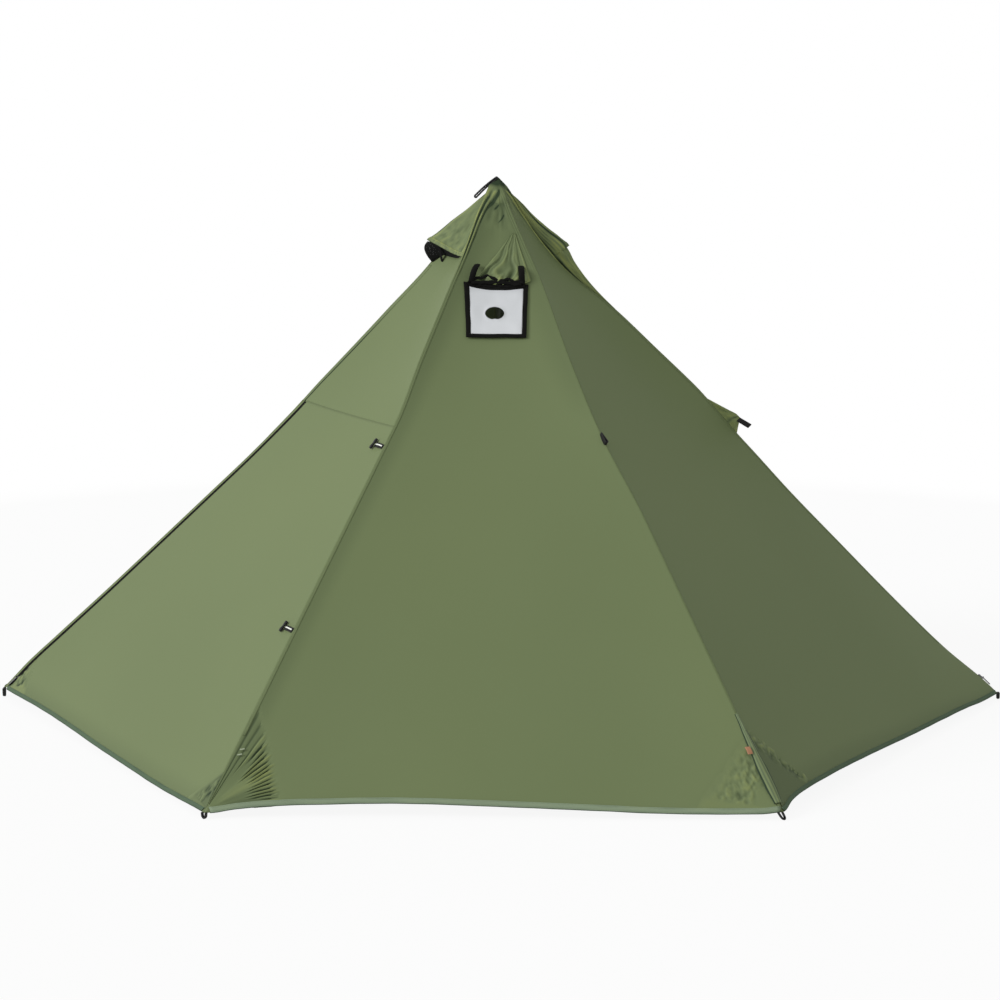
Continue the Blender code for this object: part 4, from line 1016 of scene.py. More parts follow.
@dataclass
class CornerCloth:
    """Doubled cloth at a hem corner, drawn towards the corner."""

    panel: Panel
    hand: int
    name: str
    style: CornerStyle = CornerStyle.CRUMPLED
    hem_reach: float = 0.24
    ridge_reach: float = 0.30
    pleats: float = 15.0
    depth: float = 0.0022
    start_x: float = 0.0
    seed: float = 3.0
    # Strength of the folds' painted shade and highlight, then a painted shade over the piece's inner part.
    tone: float = 0.6
    base_tone: float = 0.0

    @property
    def lean(self) -> float:
        """How far the ridge leans sideways for each metre of run."""
        return self.panel.shape.rise.x * COS_HALF * TAN_HALF

    @cached_property
    def climb(self) -> float:
        """Way up the panel's middle line for each metre of run."""
        return math.sqrt(1 - self.lean * self.lean)

    @cached_property
    def top(self) -> float:
        """Angle between the hem and the ridge."""
        return math.atan2(self.climb, -self.lean)

    def outer(self, turn: float) -> float:
        """Distance from the corner to the outer edge, at an angle above the hem."""
        chord = self.hem_reach * math.sin(turn) + self.ridge_reach * math.sin(self.top - turn)
        return self.hem_reach * self.ridge_reach * math.sin(self.top) / chord

    def spot(self, angle: float, reach: float) -> Spot:
        """Sideways place and run of a point of the cloth.

        Args:
            angle: From 0 at the hem to 1 at the ridge.
            reach: From 0 at the corner to 1 at the outer edge.

        Returns:
            The place sideways and the run.
        """
        shape = self.panel.shape
        half = shape.half_width(0.0)
        turn = self.top * angle
        length = reach * self.outer(turn)
        run = length * math.sin(turn) / self.climb
        x = half - length * math.cos(turn) - 0.0012
        run += (self.panel.hem_run(self.hand * min(x / half, 1.0)) + 0.0125) * (1 - angle)
        return self.hand * min(x, shape.half_width(run) - 0.0012 - self.start_x), run

    def sink(self, x: float, run: float) -> float:
        """Level of the cloth below this doubled cloth, which it covers."""
        half = self.panel.shape.half_width
        aside = half(0.0) - self.hand * x
        length = math.hypot(aside, run * self.climb)
        turn = math.atan2(run * self.climb, aside)
        if length > 0.5 or not 0.0 <= turn <= self.top + 0.1:
            return 0.0
        reach = length / self.outer(min(turn, self.top))
        clear = smooth(half(run) - self.hand * x, self.start_x * 0.5, self.start_x + 0.006)
        return -0.0045 * (1 - smooth(reach, 0.84, 0.95)) * clear * smooth(self.hand * x, 0.0, 0.1)

    def fold(self, angle: float, reach: float) -> float:
        """Height of the folds and their painted shade and highlight, from about -1 to 1."""
        if self.style is CornerStyle.PLEATED:
            return self.pleated(angle, reach)
        x, run = self.spot(angle, reach)
        if self.style is CornerStyle.FOLDED_BACK:
            pucker = self.crumple(x, run, 55.0, 55.0) + 0.6 * self.crumple(x, run, 110.0, 110.0, 2.0)
            band = smooth(reach, 0.70, 0.86) * (1 - smooth(reach, 0.93, 1.0))
            # Painted shade over the inner part, with puckers in a band near the edge.
            return 1.5 * (pucker - 0.12) * band - 0.62 * (1 - smooth(reach, 0.74, 0.90))
        soft = self.crumple(x, run, 62.0, 34.0) + 0.7 * self.crumple(x, run, 120.0, 70.0, 9.0)
        soft *= smooth(reach, 0.30, 0.5) * (1 - smooth(reach, 0.62, 0.98))
        # Painted shade beside the ridge, and a lighter painted band along the hem.
        shaded = 0.9 * bell(angle, 1, 0.10) * smooth(reach, 0.05, 0.2) * (1 - smooth(reach, 0.60, 0.85))
        hem = smooth(angle, 0.10, 0.20)
        return 1.5 * soft * hem - shaded + 0.35 * (1 - hem) * (1 - smooth(reach, 0.86, 1.0))

    def crumple(self, x: float, run: float, across: float, along: float, seed: float = 0.0) -> float:
        """Noise over the cloth with its own fineness across and along."""
        return ripple(x * across, run * along, self.seed + seed)

    def pleated(self, angle: float, reach: float) -> float:
        """Short pleats round the corner with two seams beside the ridge."""
        rim = 1 - smooth(reach, 0.86, 1.0)
        wander = 0.016 * ripple(angle * 9.0, reach * 3.0, self.seed)
        phase = self.pleats * 2 * math.pi * (angle + wander)
        wave = math.cos(phase) + 0.35 * math.cos(2 * phase + 0.8)
        strength = 0.95 + 0.6 * ripple(angle * 13.0, 2.0, self.seed + 2.0)
        start = 0.50 + 0.26 * ripple(angle * 9.0, 5.0, self.seed + 5.0)
        end = 0.92 + 0.08 * ripple(angle * 15.0, 8.0, self.seed + 6.0)
        short = smooth(reach, start, start + 0.22) * (1 - smooth(reach, end - 0.05, end + 0.05))
        long_fold = ripple(angle * 6.0, reach * 0.8, self.seed + 9.0) * smooth(reach, 0.05, 0.3) * rim
        band = smooth(angle, 0.80, 0.86)
        seams = bell(angle, 0.965, 0.012) + bell(angle, 0.90, 0.012) + 0.4
        return (long_fold - wave * max(strength, 0.1) * short) * (1 - band) - 0.6 * seams * band * rim

    def build(self) -> Object:
        """Make the cloth."""
        def place(angle: float, reach: float) -> Vector:
            """Place of a point."""
            x, run = self.spot(angle, reach)
            edge = smooth(angle, 0.0, 0.05) * (1 - smooth(angle, 0.95, 1.0)) * (1 - smooth(reach, 0.93, 1.0))
            height = self.depth * edge * min(max(self.fold(angle, reach), -1.4), 1.6)
            return self.panel.at(x, run, 0.0003 + height - 0.0004 * smooth(reach, 0.80, 1.0))

        def shade(angle: float, reach: float) -> float:
            """Painted shade and highlight of a point."""
            plain = self.base_tone * (1 - smooth(reach, 0.80, 1.0)) + self.panel.tone(*self.spot(angle, reach))
            return self.tone * self.fold(angle, reach) + plain

        return ClothGrid(
            self.name, even(0, 1, int(10 * self.pleats) + 8), even(0.03, 1, 60), place, self.panel.out(0.1),
            uv=self.spot, shade=shade, thickness=0.0004, closed=True,
        ).build()


@dataclass
class SeamStrip:
    """Flat strip that follows a panel beside one of its ridges or its hem."""

    panel: Panel
    name: str
    hand: int
    low: float
    high: float
    width: float = 0.009
    inset: float = 0.0006
    lift: float = 0.0004
    thickness: float = 0.0009
    line: float = 0.0
    steps: int = 90

    def build(self) -> Object:
        """Make the strip."""
        def sideways(across: float, run: float) -> float:
            """Sideways place of a point."""
            return self.hand * (self.panel.shape.half_width(run) - self.inset - self.width * across)

        def place(across: float, run: float) -> Vector:
            """Place of a point."""
            round_off = self.thickness * (1 - abs(2 * across - 1) ** 6)
            return self.panel.at(sideways(across, run), run, self.lift + round_off)

        def shade(across: float, run: float) -> float:
            """Painted shade and highlight of the cloth under the strip, with a darker line along its inner edge
            near the strip's foot.
            """
            line = smooth(across, 0.70, 0.85) * (1 - smooth(run, self.low + 0.15, self.low + 0.50))
            return self.panel.tone(sideways(across, run), run) - self.line * line

        return ClothGrid(
            self.name, even(0, 1, 12), even(self.low, self.high, self.steps), place, self.panel.out(0.5),
            uv=lambda across, run: (across * self.width, run), shade=shade, thickness=self.thickness,
        ).build()


@dataclass
class HemTape:
    """Tape folded over the hem of a panel."""

    panel: Panel
    name: str
    left_gap: float = 0.0008
    right_gap: float = 0.0008
    narrow: float = 1.0
    thickness: float = 0.0008

    def build(self) -> Object:
        """Make the tape."""
        shape = self.panel.shape
        section = (
            (0.019, 0.0012), (0.0185, 0.0022), (0.010, 0.0026), (0.002, 0.0024), (-0.0006, 0.0010),
            (-0.0008, -0.0012), (0.002, -0.0030), (0.014, -0.0032),
        )

        def place(share: float, step: float) -> Vector:
            """Place of a point."""
            rise, level = section[int(step)]
            half = shape.half_width(0.0)
            low, high = -half + self.left_gap, half - self.right_gap
            x = (low + high) / 2 + share * (high - low) / 2
            run = self.panel.hem_run(x / half) + rise * self.narrow
            shrink = half - shape.half_width(run, level)
            x -= math.copysign(shrink * smooth(abs(x / half), 0.9, 1.0), x)
            wobble = 0.0007 * ripple(x * 14, 0.3, 4.0)
            return self.panel.at(x, run + wobble, level)

        def shade(share: float, step: float) -> float:
            """Painted shade along the tape's turned-under foot, painted highlight along its top edge, and random
            tone.
            """
            rise = section[int(step)][0]
            return -0.9 if rise < 0.001 else 0.6 * (rise > 0.0188) + 0.25 * ripple(share * 9, step, 2.0)

        return ClothGrid(
            self.name, crowded(-1, 1, 90, 1.0), steps(section), place, self.panel.out(0.0),
            uv=lambda share, step: (section[int(step)][0], share * 0.8), shade=shade, thickness=self.thickness,
        ).build()


@dataclass
class Canopy:
    """Four whole sides of the tent with their hems, ridge seams and corner cloth."""

    yard: Yard
    window_width: float = 0.136
    window_height: float = 0.152
    window_top_below_collar: float = 0.387
    slant_height: float = 2.12
    side_tape: float = 0.74

    def panel(self, facing: Facing) -> Panel:
        """Cloth surface of one whole side."""
        left, right = {Facing.FRONT: (1.0, 0.15), Facing.FRONT_RIGHT: (0.2, 1.0)}.get(facing, (0.5, 0.5))
        return Panel(self.yard.shape, facing, Relief(
            left_pleats=left, right_pleats=right, seed=facing.value / 10 + 1,
            right_lines=EDGE_PLEATS if facing is Facing.FRONT_RIGHT else FINE_PLEATS,
            creases=APEX_CREASES if facing is Facing.FRONT else (),
        ))

    def build(self) -> dict[Facing, Panel]:
        """Make the four sides.

        Returns:
            The cloth surfaces by the way they face.
        """
        panels = {}
        for facing in (Facing.FRONT, Facing.FRONT_RIGHT, Facing.BACK, Facing.BACK_LEFT):
            panel = self.panel(facing)
            panels[facing] = panel
            self.build_side(panel)
        return panels

    def build_side(self, panel: Panel) -> None:
        """Make one whole side with its trim."""
        shape = panel.shape
        facing = panel.facing
        label = facing.label
        top = shape.length - self.window_top_below_collar
        plain = facing in (Facing.FRONT, Facing.BACK)
        fans = [self.corner(panel, hand) for hand in ((-1, 1) if plain else (-1,))]

        def place(share: float, climb: float) -> Vector:
            """Place of a point."""
            base = panel.hem_run(share)
            run = base + (shape.length - base) * climb
            over = 0.0010 * smooth(abs(share), 0.9, 1.0)
            x = share * (shape.half_width(run) + over)
            return panel.at(x, run, min(fan.sink(x, run) for fan in fans))

        def spot(share: float, climb: float) -> Spot:
            """Place of a point on the flat cloth."""
            return share * shape.half_width(climb * shape.length), climb * shape.length

        def keep(share: float, climb: float) -> bool:
            """Whether a face stays."""
            x, run = spot(share, climb)
            behind = top - self.window_height < run < top
            return not (facing is Facing.FRONT and behind and abs(x) < self.window_width / 2)

        def shade(share: float, climb: float) -> float:
            """Painted shade and highlight of a point."""
            x, run = spot(share, climb)
            from_left = shape.half_width(run) + x
            from_right = shape.half_width(run) - x
            # Painted shade: darker bands beside the ridges of the front and back, and just above the hem on the
            # other sides.
            band = 0.20 * (1 - smooth(from_left, 0.012, 0.075)) * smooth(run, 0.10, 0.35) if plain else 0.0
            band += 0.14 * (1 - smooth(from_right, 0.010, 0.10)) * smooth(run, 1.30, 1.60) if plain else 0.0
            low = 0.0 if plain else 0.16 * (1 - smooth(run - panel.hem_run(share), 0.012, 0.07))
            return panel.tone(x, run) - band - low

        rows = even(0, 0.92, 130) + even(0.92, 1, 46)[1:]
        cloth = ClothGrid(
            f"cloth_{label}", crowded(-1, 1, 96, 1.25), rows, place, panel.out(0.5), uv=spot, shade=shade,
            keep=keep,
        ).build()
        self.yard.place(cloth, Look.CLOTH, f"panel_{label}")
        gap, narrow = (0.004, 1.0) if plain else (0.0008, self.side_tape)
        tape = HemTape(panel, f"hem_binding_{label}", left_gap=gap, narrow=narrow).build()
        self.yard.place(tape, Look.HEM_PALE if plain else Look.HEM, f"hem_tape_{label}")
        with_pieces = [tape] + [self.yard.place(fan.build(), Look.CLOTH) for fan in fans]
        for hand in (-1,) if plain else (-1, 1):
            seam = SeamStrip(panel, f"ridge_seam_{label}_{hand_name(hand)}", hand, 0.24, shape.length - 0.03)
            with_pieces.append(self.yard.place(seam.build(), Look.CLOTH_SEAM))

    @staticmethod
    def corner(panel: Panel, hand: int) -> CornerCloth:
        """Doubled cloth at one hem corner.

        Args:
            panel: The side's surface.
            hand: -1 for its left corner, 1 for its right one.

        Returns:
            The cloth, not yet made.
        """
        plain = panel.facing in (Facing.FRONT, Facing.BACK)
        name = f"corner_fan_{panel.facing.label}_{hand_name(hand)}"
        seed = panel.facing.value / 7 + hand
        if plain and hand < 0:
            return CornerCloth(
                panel, hand, name, CornerStyle.PLEATED, hem_reach=0.215, ridge_reach=0.375, pleats=17.0,
                depth=0.0026, seed=seed, tone=0.75, base_tone=-0.04)
        if plain:
            return CornerCloth(
                panel, hand, name, CornerStyle.CRUMPLED, hem_reach=0.250, ridge_reach=0.260, depth=0.0020,
                start_x=0.008, seed=seed, tone=0.36)
        return CornerCloth(
            panel, hand, name, CornerStyle.FOLDED_BACK, hem_reach=0.260, ridge_reach=0.290, depth=0.0018,
            start_x=0.008, seed=seed, tone=0.55)


@dataclass(frozen=True)
class HoodLine:
    """How a vent hood stands off its side."""

    lift: float = 0.052
    power: float = 1.0
    lip_lift: float = 0.002
    edge_drawn: float = 1.0
    lip_slant: float = 0.020
    lip_round: float = 0.006
    edge_wave: float = 0.0
    net_slack: float = 0.031
    tail: tuple[tuple[float, float], ...] = ()


@dataclass(frozen=True)
class BackHood(HoodLine):
    """Hood of the far side, which runs on down its ridge below the lip."""

    lift: float = 0.048
    power: float = 1.14
    lip_lift: float = -0.006
    edge_drawn: float = 0.0
    lip_slant: float = 0.0
    lip_round: float = 0.003
    edge_wave: float = 0.004
    net_slack: float = 0.0
    tail: tuple[tuple[float, float], ...] = (
        (1.74, 0.0195), (1.80, 0.0167), (1.85, 0.0156), (1.90, 0.0175), (1.95, 0.0226), (2.00, 0.0320),
    )


@dataclass
class VentHood:
    """Hood over the cloth's top edge, with its stitched lip, its side and the net in its mouth."""

    yard: Yard
    panel: Panel
    line: HoodLine
    lip_below_collar: float = 0.270
    sill_drop: float = 0.034
    sill_gap: float = 0.004

    @property
    def label(self) -> str:
        """Name of the hood's side."""
        return self.panel.facing.label

    @property
    def lip(self) -> float:
        """Run of the hood's lip."""
        return self.yard.shape.length - self.lip_below_collar

    def build(self) -> None:
        """Make the hood and its net."""
        self.build_skin()
        self.build_net()
        self.yard.dress(f"vent_prop_{self.label}", Look.STIFFENER)

    def sill_run(self, share: float) -> float:
        """Run of the cloth's top edge under the hood."""
        drop = (self.sill_drop + 0.003) * (1 - smooth(share, -1.0, -0.70))
        return self.lip + 0.003 - drop

    def lift(self, run: float) -> float:
        """How far the hood's free edge stands off the panel."""
        shape = self.yard.shape
        share = max(0.0, shape.length - run) / self.lip_below_collar
        rounded = self.line.lip_round * smooth(share, 0.92, 1.0)
        wave = self.line.edge_wave * math.sin(2 * math.pi * min(share / 0.8, 1.0))
        return self.line.lift * share ** self.line.power + self.line.lip_lift * share ** 6 - rounded + wave

    def lip_tilt(self, across: float, run: float) -> float:
        """How far the lip's slant moves a place of the hood up its ridge."""
        return self.line.lip_slant * (min(across, 1.0) - 0.5) * (1 - smooth(run, self.lip, self.lip + 0.09))

    def point(self, across: float, run: float, lift: float = 0.0) -> Vector:
        """Place on the hood.

        Args:
            across: 0 at the door's hinge ridge, 1 at the raised edge, 2 at the zip's ridge.
            run: Distance up the ridge.
            lift: Distance outside the hood's cloth.

        Returns:
            The place.
        """
        shape = self.yard.shape
        high = self.lift(run)
        right = shape.half_width(run) - 0.0006
        left = -(shape.half_width(run, high) - 0.0006)
        raised = 2 - across if across > 1 else across
        free = shape.drawn(self.panel.ridge_at(-1.0), run) * ((self.line.edge_drawn - 1) * raised ** 2)
        if across > 1:
            share = across - 1
            foot = -(shape.half_width(run, -0.002) - 0.0008)
            bulge = 0.006 * math.sin(math.pi * share) * high / self.line.lift
            bulge += 0.003 * ripple(share * 3, run * 22, 4.0) * raised
            x = left + (foot - left) * share - bulge - lift
            return free + self.panel.bare(x, run, high * (1 - share) - 0.002 * share)
        stand = through(((0.0, 0.0), (0.35, 0.16), (0.67, 0.66), (1.0, 1.0)), across)
        over = 0.0022 * (1 - smooth(shape.length - run, self.lip_below_collar - 0.06, self.lip_below_collar))
        billow = 0.006 * math.sin(math.pi * across) * high / self.line.lift + 0.0022 - over
        wrinkle = 0.0030 * ripple(across * 5, run * 14, 3.0) + 0.0014 * ripple(across * 12, run * 30, 7.0)
        level = high * stand - 0.0005 + (billow + wrinkle) * smooth(across, 0.0, 0.1) + lift
        return free + self.panel.bare(right + (left - right) * across, run, level)

    def side_tone(self, share: float, run: float) -> float:
        """Painted highlight and shade of the hood's crumpled side, lighter overall with dark painted seam lines,
        from its raised edge to the ridge.
        """
        folds = 1.1 * ripple(share * 7, run * 8, 6.0) + 0.9 * ripple(share * 15, run * 20, 8.0)
        seams = bell(share, 0.92, 0.06) + 0.8 * bell(share, 0.16, 0.05)
        return 0.40 + 1.1 * folds - 2.0 * seams

    def tone(self, across: float, run: float) -> float:
        """Painted shade and highlight of the hood's crumpled cloth, with painted lines at its hinge ridge and its
        raised edge.
        """
        shape = self.yard.shape
        down = shape.length - run
        near_lip = smooth(down, 0.13, 0.24)
        crumple = (0.5 + 0.5 * near_lip) * ripple(across * 9, run * 16, 5.0)
        crumple += (0.3 + 0.4 * near_lip) * ripple(across * 22, run * 60, 9.0)
        fade = smooth(down, 0.012, 0.05)
        drift = 0.02 * ripple(down * 10, 1.0, 2.0)
        pleat = bell(across - drift, 0.07, 0.035) - bell(across - drift, 0.15, 0.03)
        rim = bell(across + drift, 0.93, 0.03) - bell(across, 0.985, 0.02)
        return (0.6 * crumple + 0.55 * pleat + 0.7 * rim) * fade - 0.05

    def build_skin(self) -> None:
        """Hood skin with its side and its stitched lip."""
        shape = self.yard.shape
        lip = self.lip + self.sill_gap
        columns = even(0, 1, 48) + even(1, 2, 22)[1:]
        skin = ClothGrid(
            f"hood_skin_{self.label}", columns, even(lip, shape.length, 44),
            lambda a, run: self.point(a, run + self.lip_tilt(a, run)), self.panel.out(lip),
            uv=lambda a, run: (a * 0.2, run),
            shade=lambda a, run: self.tone(a, run) if a <= 1 else self.side_tone(a - 1, run),
        ).build()
        self.yard.place(skin, Look.CLOTH, f"hood_{self.label}")

        def place(across: float, climb: float) -> Vector:
            """Place of a point."""
            run = lip - 0.001 + 0.016 * climb + self.lip_tilt(across, lip)
            return self.point(across, run, 0.0005 + 0.0009 * (1 - abs(2 * climb - 1) ** 4))

        def shade(across: float, climb: float) -> float:
            """Painted shade along the lip's lower edge, painted highlight near its upper edge, and painted light
            and dark marks along it.
            """
            rims = 0.5 * smooth(climb, 0.8, 0.95) - 0.9 * (1 - smooth(climb, 0.0, 0.12))
            return 0.12 + 0.9 * ripple(across * 26, climb * 2, 2.0) + rims

        band = ClothGrid(
            f"hood_lip_{self.label}", even(0, 1.0, 44), [0.0, 0.12, 0.5, 0.88, 1.0], place, self.panel.out(lip),
            uv=lambda a, c: (0.016 * c - 0.002, a * 0.2), shade=shade, thickness=0.0010,
        ).build()
        self.yard.place(band, Look.CLOTH_SEAM)
        pieces = [band] + ([self.build_tail(lip)] if self.line.tail else [])
        f"vent_prop_{self.label}"

    def build_tail(self, lip: float) -> Object:
        """Make the end of the hood's side, which runs down along the ridge below the lip."""
        shape = self.yard.shape
        ridge = self.panel.ridge_at(-1.0)
        low = self.line.tail[0][0]

        def place(share: float, run: float) -> Vector:
            """Place of a point."""
            high = through(self.line.tail, run)
            edge = self.panel.bare(-shape.half_width(run, high), run, high) - shape.drawn(ridge, run)
            foot = self.panel.bare(-(shape.half_width(run) - 0.0008), run, -0.0015)
            swell = 0.003 * math.sin(math.pi * share) * (1 + ripple(share * 3, run * 30, 2.0))
            return edge.lerp(foot, share) - self.panel.side() * swell

        tail = ClothGrid(
            f"hood_side_{self.label}", even(0, 1, 10), even(low, lip + 0.004, 40), place, -self.panel.side(),
            uv=lambda share, run: (share * 0.03, run),
            shade=lambda share, run: self.side_tone(share, run) * smooth(run, low, 1.92) + 0.1,
        ).build()
        return self.yard.place(tail, Look.CLOTH)

    def build_net(self) -> None:
        """Net in the hood's mouth."""
        shape = self.yard.shape
        top = self.lip + 0.010

        def place(share: float, climb: float) -> Vector:
            """Place of a point."""
            low_run = self.sill_run(share) - 0.006
            low = self.panel.bare(share * (shape.half_width(low_run) - 0.004), low_run, -0.003)
            across = (1 - share) / 2
            high = self.point(max(across, 0.02), top, -0.0030)
            slack = self.line.net_slack * math.sin(math.pi * climb ** 0.75) * (1 - smooth(share, -1.0, -0.6))
            slack -= 0.004 * math.sin(math.pi * climb)
            return low.lerp(high, climb) + self.panel.out(top) * slack

        net = ClothGrid(
            f"net_{self.label}", even(-0.98, 1, 40), even(0, 1, 16), place,
            self.panel.out(top) - self.panel.up(top), uv=lambda s, c: (s * 0.11, c * 0.06), thickness=0.0004,
        ).build()
        self.yard.place(net, Look.NET, f"vent_net_{self.label}")
        f"panel_{self.label}"


@dataclass
class DoorSide:
    """Door side: cloth over the door, door leaf, zip, tie-backs and vent hood."""

    yard: Yard
    facing: Facing
    line: HoodLine = HoodLine()
    placket_width: float = 0.014
    door_edge: float = 0.024
    tie_runs: tuple[float, float] = (0.615, 1.290)
    tie_length: float = 0.050
    tie_root: float = 0.004
    tie_width: float = 0.012
    tie_drop: float = 0.012
    bar_length: float = 0.036
    bar_radius: float = 0.0048

    @cached_property
    def panel(self) -> Panel:
        """Cloth surface of this side."""
        return Panel(self.yard.shape, self.facing, Relief(seed=self.facing.value / 10 + 1))

    @cached_property
    def hood(self) -> VentHood:
        """Vent hood of this side."""
        return VentHood(self.yard, self.panel, self.line)

    @property
    def label(self) -> str:
        """Name of this side."""
        return self.facing.label

    def build(self) -> Panel:
        """Make the whole side.

        Returns:
            Its cloth surface.
        """
        self.build_upper()
        self.build_door()
        self.build_zip()
        for level, run in zip(("low", "high"), self.tie_runs):
            self.build_tie(level, run)
        self.hood.build()
        for part in ("zip_slider", "zip_pull"):
            self.yard.dress(f"{part}_{self.label}", Look.METAL)
        return self.panel

    def build_upper(self) -> None:
        """Cloth over the door, with the strip that carries the zip and the ridge seam."""
        shape = self.yard.shape
        panel = self.panel
        low = shape.door_top - 0.012

        def spot(share: float, climb: float) -> Spot:
            """Place of a point on the flat cloth."""
            run = low + (self.hood.sill_run(share) - low) * climb
            return share * shape.half_width(run), run

        def place(share: float, climb: float) -> Vector:
            """Place of a point."""
            x, run = spot(share, climb)
            return panel.at(x - share * 0.0004, run)

        upper = ClothGrid(
            f"cloth_{self.label}", crowded(-1, 1, 48, 1.1), even(0, 1, 40), place, panel.out(1.6),
            uv=spot, shade=lambda s, c: panel.tone(*spot(s, c)),
        ).build()
        self.yard.place(upper, Look.CLOTH, f"panel_{self.label}")

        def strip_place(across: float, climb: float) -> Vector:
            """Place of a point of the strip."""
            run = climb * shape.door_top
            run = max(run, panel.hem_run(-(shape.half_width(0.0) - 0.007) / shape.half_width(0.0)))
            x = -(shape.half_width(run) - 0.0004 - (self.placket_width - 0.0004) * across)
            return panel.at(x, run)

        strip = ClothGrid(
            f"zip_strip_{self.label}", even(0, 1, 4), even(0, 1, 120), strip_place, panel.out(0.5),
            uv=lambda a, c: (a * self.placket_width, c * shape.door_top), shade=lambda a, c: 0.10,
        ).build()
        self.yard.place(strip, Look.CLOTH_SEAM)
        seam = SeamStrip(
            panel, f"ridge_seam_{self.label}_zip", -1, shape.door_top, self.hood.lip - 0.05, width=0.016, line=1.4,
        )
        seam_piece = self.yard.place(seam.build(), Look.CLOTH_SEAM)

    def door_bounds(self, run: float) -> Spot:
        """Sideways places of the door's zip edge and hinge edge."""
        half = self.yard.shape.half_width(run)
        return -(half - self.door_edge), half - 0.0006

    def build_door(self) -> None:
        """Door leaf with its hem, its zip tape and its corner fans."""
        shape = self.yard.shape
        panel = self.panel
        body = f"door_{self.label}"
        top = shape.door_top + 0.003

        def spot(share: float, climb: float) -> Spot:
            """Place of a point on the flat cloth."""
            left, right = self.door_bounds(0.0)
            x0 = (left + right) / 2 + share * (right - left) / 2
            base = panel.hem_run(x0 / shape.half_width(0.0))
            run = base + (top - base) * climb
            left, right = self.door_bounds(run)
            return (left + right) / 2 + share * (right - left) / 2, run

        seed = self.facing.value / 9
        fans = [
            CornerCloth(
                panel, -1, f"corner_fan_{self.label}_zip", CornerStyle.CRUMPLED, start_x=self.door_edge + 0.006,
                hem_reach=0.16, ridge_reach=0.17, depth=0.0018, pleats=10.0, seed=seed - 1, tone=0.85,
                base_tone=-0.10),
            CornerCloth(
                panel, 1, f"corner_fan_{self.label}_hinge", CornerStyle.CRUMPLED, start_x=0.002, hem_reach=0.13,
                ridge_reach=0.13, depth=0.0014, pleats=8.0, seed=seed + 1, tone=0.55, base_tone=-0.42),
        ]

        def place(share: float, climb: float) -> Vector:
            """Place of a point."""
            x, run = spot(share, climb)
            over = 0.0004 * smooth(run, shape.door_top - 0.08, shape.door_top - 0.015)
            return panel.at(x, run, over + min(fan.sink(x, run) for fan in fans))

        # The leaf's painted shade and highlight, darker just above its hem.
        leaf = ClothGrid(
            f"door_leaf_{self.label}", crowded(-1, 1, 80, 1.15), even(0, 1, 110),
            place, panel.out(0.5), uv=spot,
            shade=lambda s, c: panel.tone(*spot(s, c)) - 0.16 * (1 - smooth(c, 0.010, 0.06)), thickness=0.0003,
        ).build()
        self.yard.place(leaf, Look.CLOTH, f"door_{self.label}", body=body)
        tape = HemTape(panel, f"hem_binding_{self.label}", left_gap=self.door_edge, right_gap=0.004, narrow=0.74)
        tape_piece = self.yard.place(tape.build(), Look.HEM, f"hem_tape_{self.label}", body=body)

        def edge_place(across: float, run: float) -> Vector:
            """Place of a point of the door's zip tape."""
            x = self.door_bounds(run)[0] - 0.0046 + 0.0096 * across
            return panel.at(x, run, 0.0001 + 0.0005 * smooth(across, 0.3, 0.6))

        zip_edge = ClothGrid(
            f"door_zip_tape_{self.label}", even(0, 1, 3), even(0.020, top - 0.006, 100), edge_place, panel.out(0.5),
            uv=lambda a, run: (a * 0.006, run), thickness=0.0006,
        ).build()
        self.yard.place(zip_edge, Look.ZIP, body=body)
        pieces = [tape_piece, zip_edge]
        pieces += [self.yard.place(fan.build(), Look.CLOTH, body=body) for fan in fans]
        half = shape.half_width(0.0)
        area = (2 * half + 2 * shape.half_width(top) - 2 * self.door_edge) / 2 * 1.255
        f"panel_{self.label}"

    def build_zip(self) -> None:
        """Coil of the zip with the tape on its fixed side."""
        shape = self.yard.shape
        panel = self.panel
        section = (
            (0.0, 0.0004), (0.0008, 0.0006), (0.0014, 0.0010), (0.0030, 0.0012), (0.0046, 0.0010),
            (0.0052, 0.0006), (0.0060, 0.0004),
        )

        def place(step: float, run: float) -> Vector:
            """Place of a point."""
            across, level = section[int(step)]
            x = -(shape.half_width(run) - self.placket_width - 0.0003 - across)
            return panel.at(x, run, level)

        coil = ClothGrid(
            f"zip_coil_{self.label}", steps(section), even(0.012, shape.door_top - 0.0005, 160),
            place, panel.out(0.5), uv=lambda step, run: (section[int(step)][0], run), thickness=0.0012,
        ).build()
        self.yard.place(coil, Look.ZIP, f"zip_chain_{self.label}")

    def build_tie(self, level: str, run: float) -> None:
        """Tie-back: a short striped strap with a toggle across its end."""
        shape = self.yard.shape
        panel = self.panel
        body = f"tie_{self.label}_{level}"
        run -= self.tie_drop
        up = panel.up(run)
        out = panel.out(run)
        root = shape.half_width(run) - self.tie_root
        path = []
        for share in even(0, 1, 10):
            x = root - self.tie_length * share
            arch = 0.0012 + 0.0030 * math.sin(math.pi * share)
            path.append((panel.bare(x, run, arch), up, out))
        strap = swept(f"tie_strap_cloth_{self.label}_{level}", path, self.tie_width + 0.004, 0.0016)
        self.yard.place(strap, Look.STRIPED, f"tie_strap_{self.label}_{level}", body=body)
        line = [(c + out * 0.0010 + up * 0.001, u, o) for c, u, o in path[1:-1]]
        stripe = swept(f"tie_stripe_{self.label}_{level}", line, 0.0042, 0.0005)
        self.yard.place(stripe, Look.STRIPE, body=body)
        centre = panel.bare(root - self.tie_length - 0.0051, run, 0.0051)
        toggle = self.build_bar(f"toggle_bar_{self.label}_{level}", centre, up)
        self.yard.place(toggle, Look.MOULDED, f"tie_toggle_{self.label}_{level}", body=body)

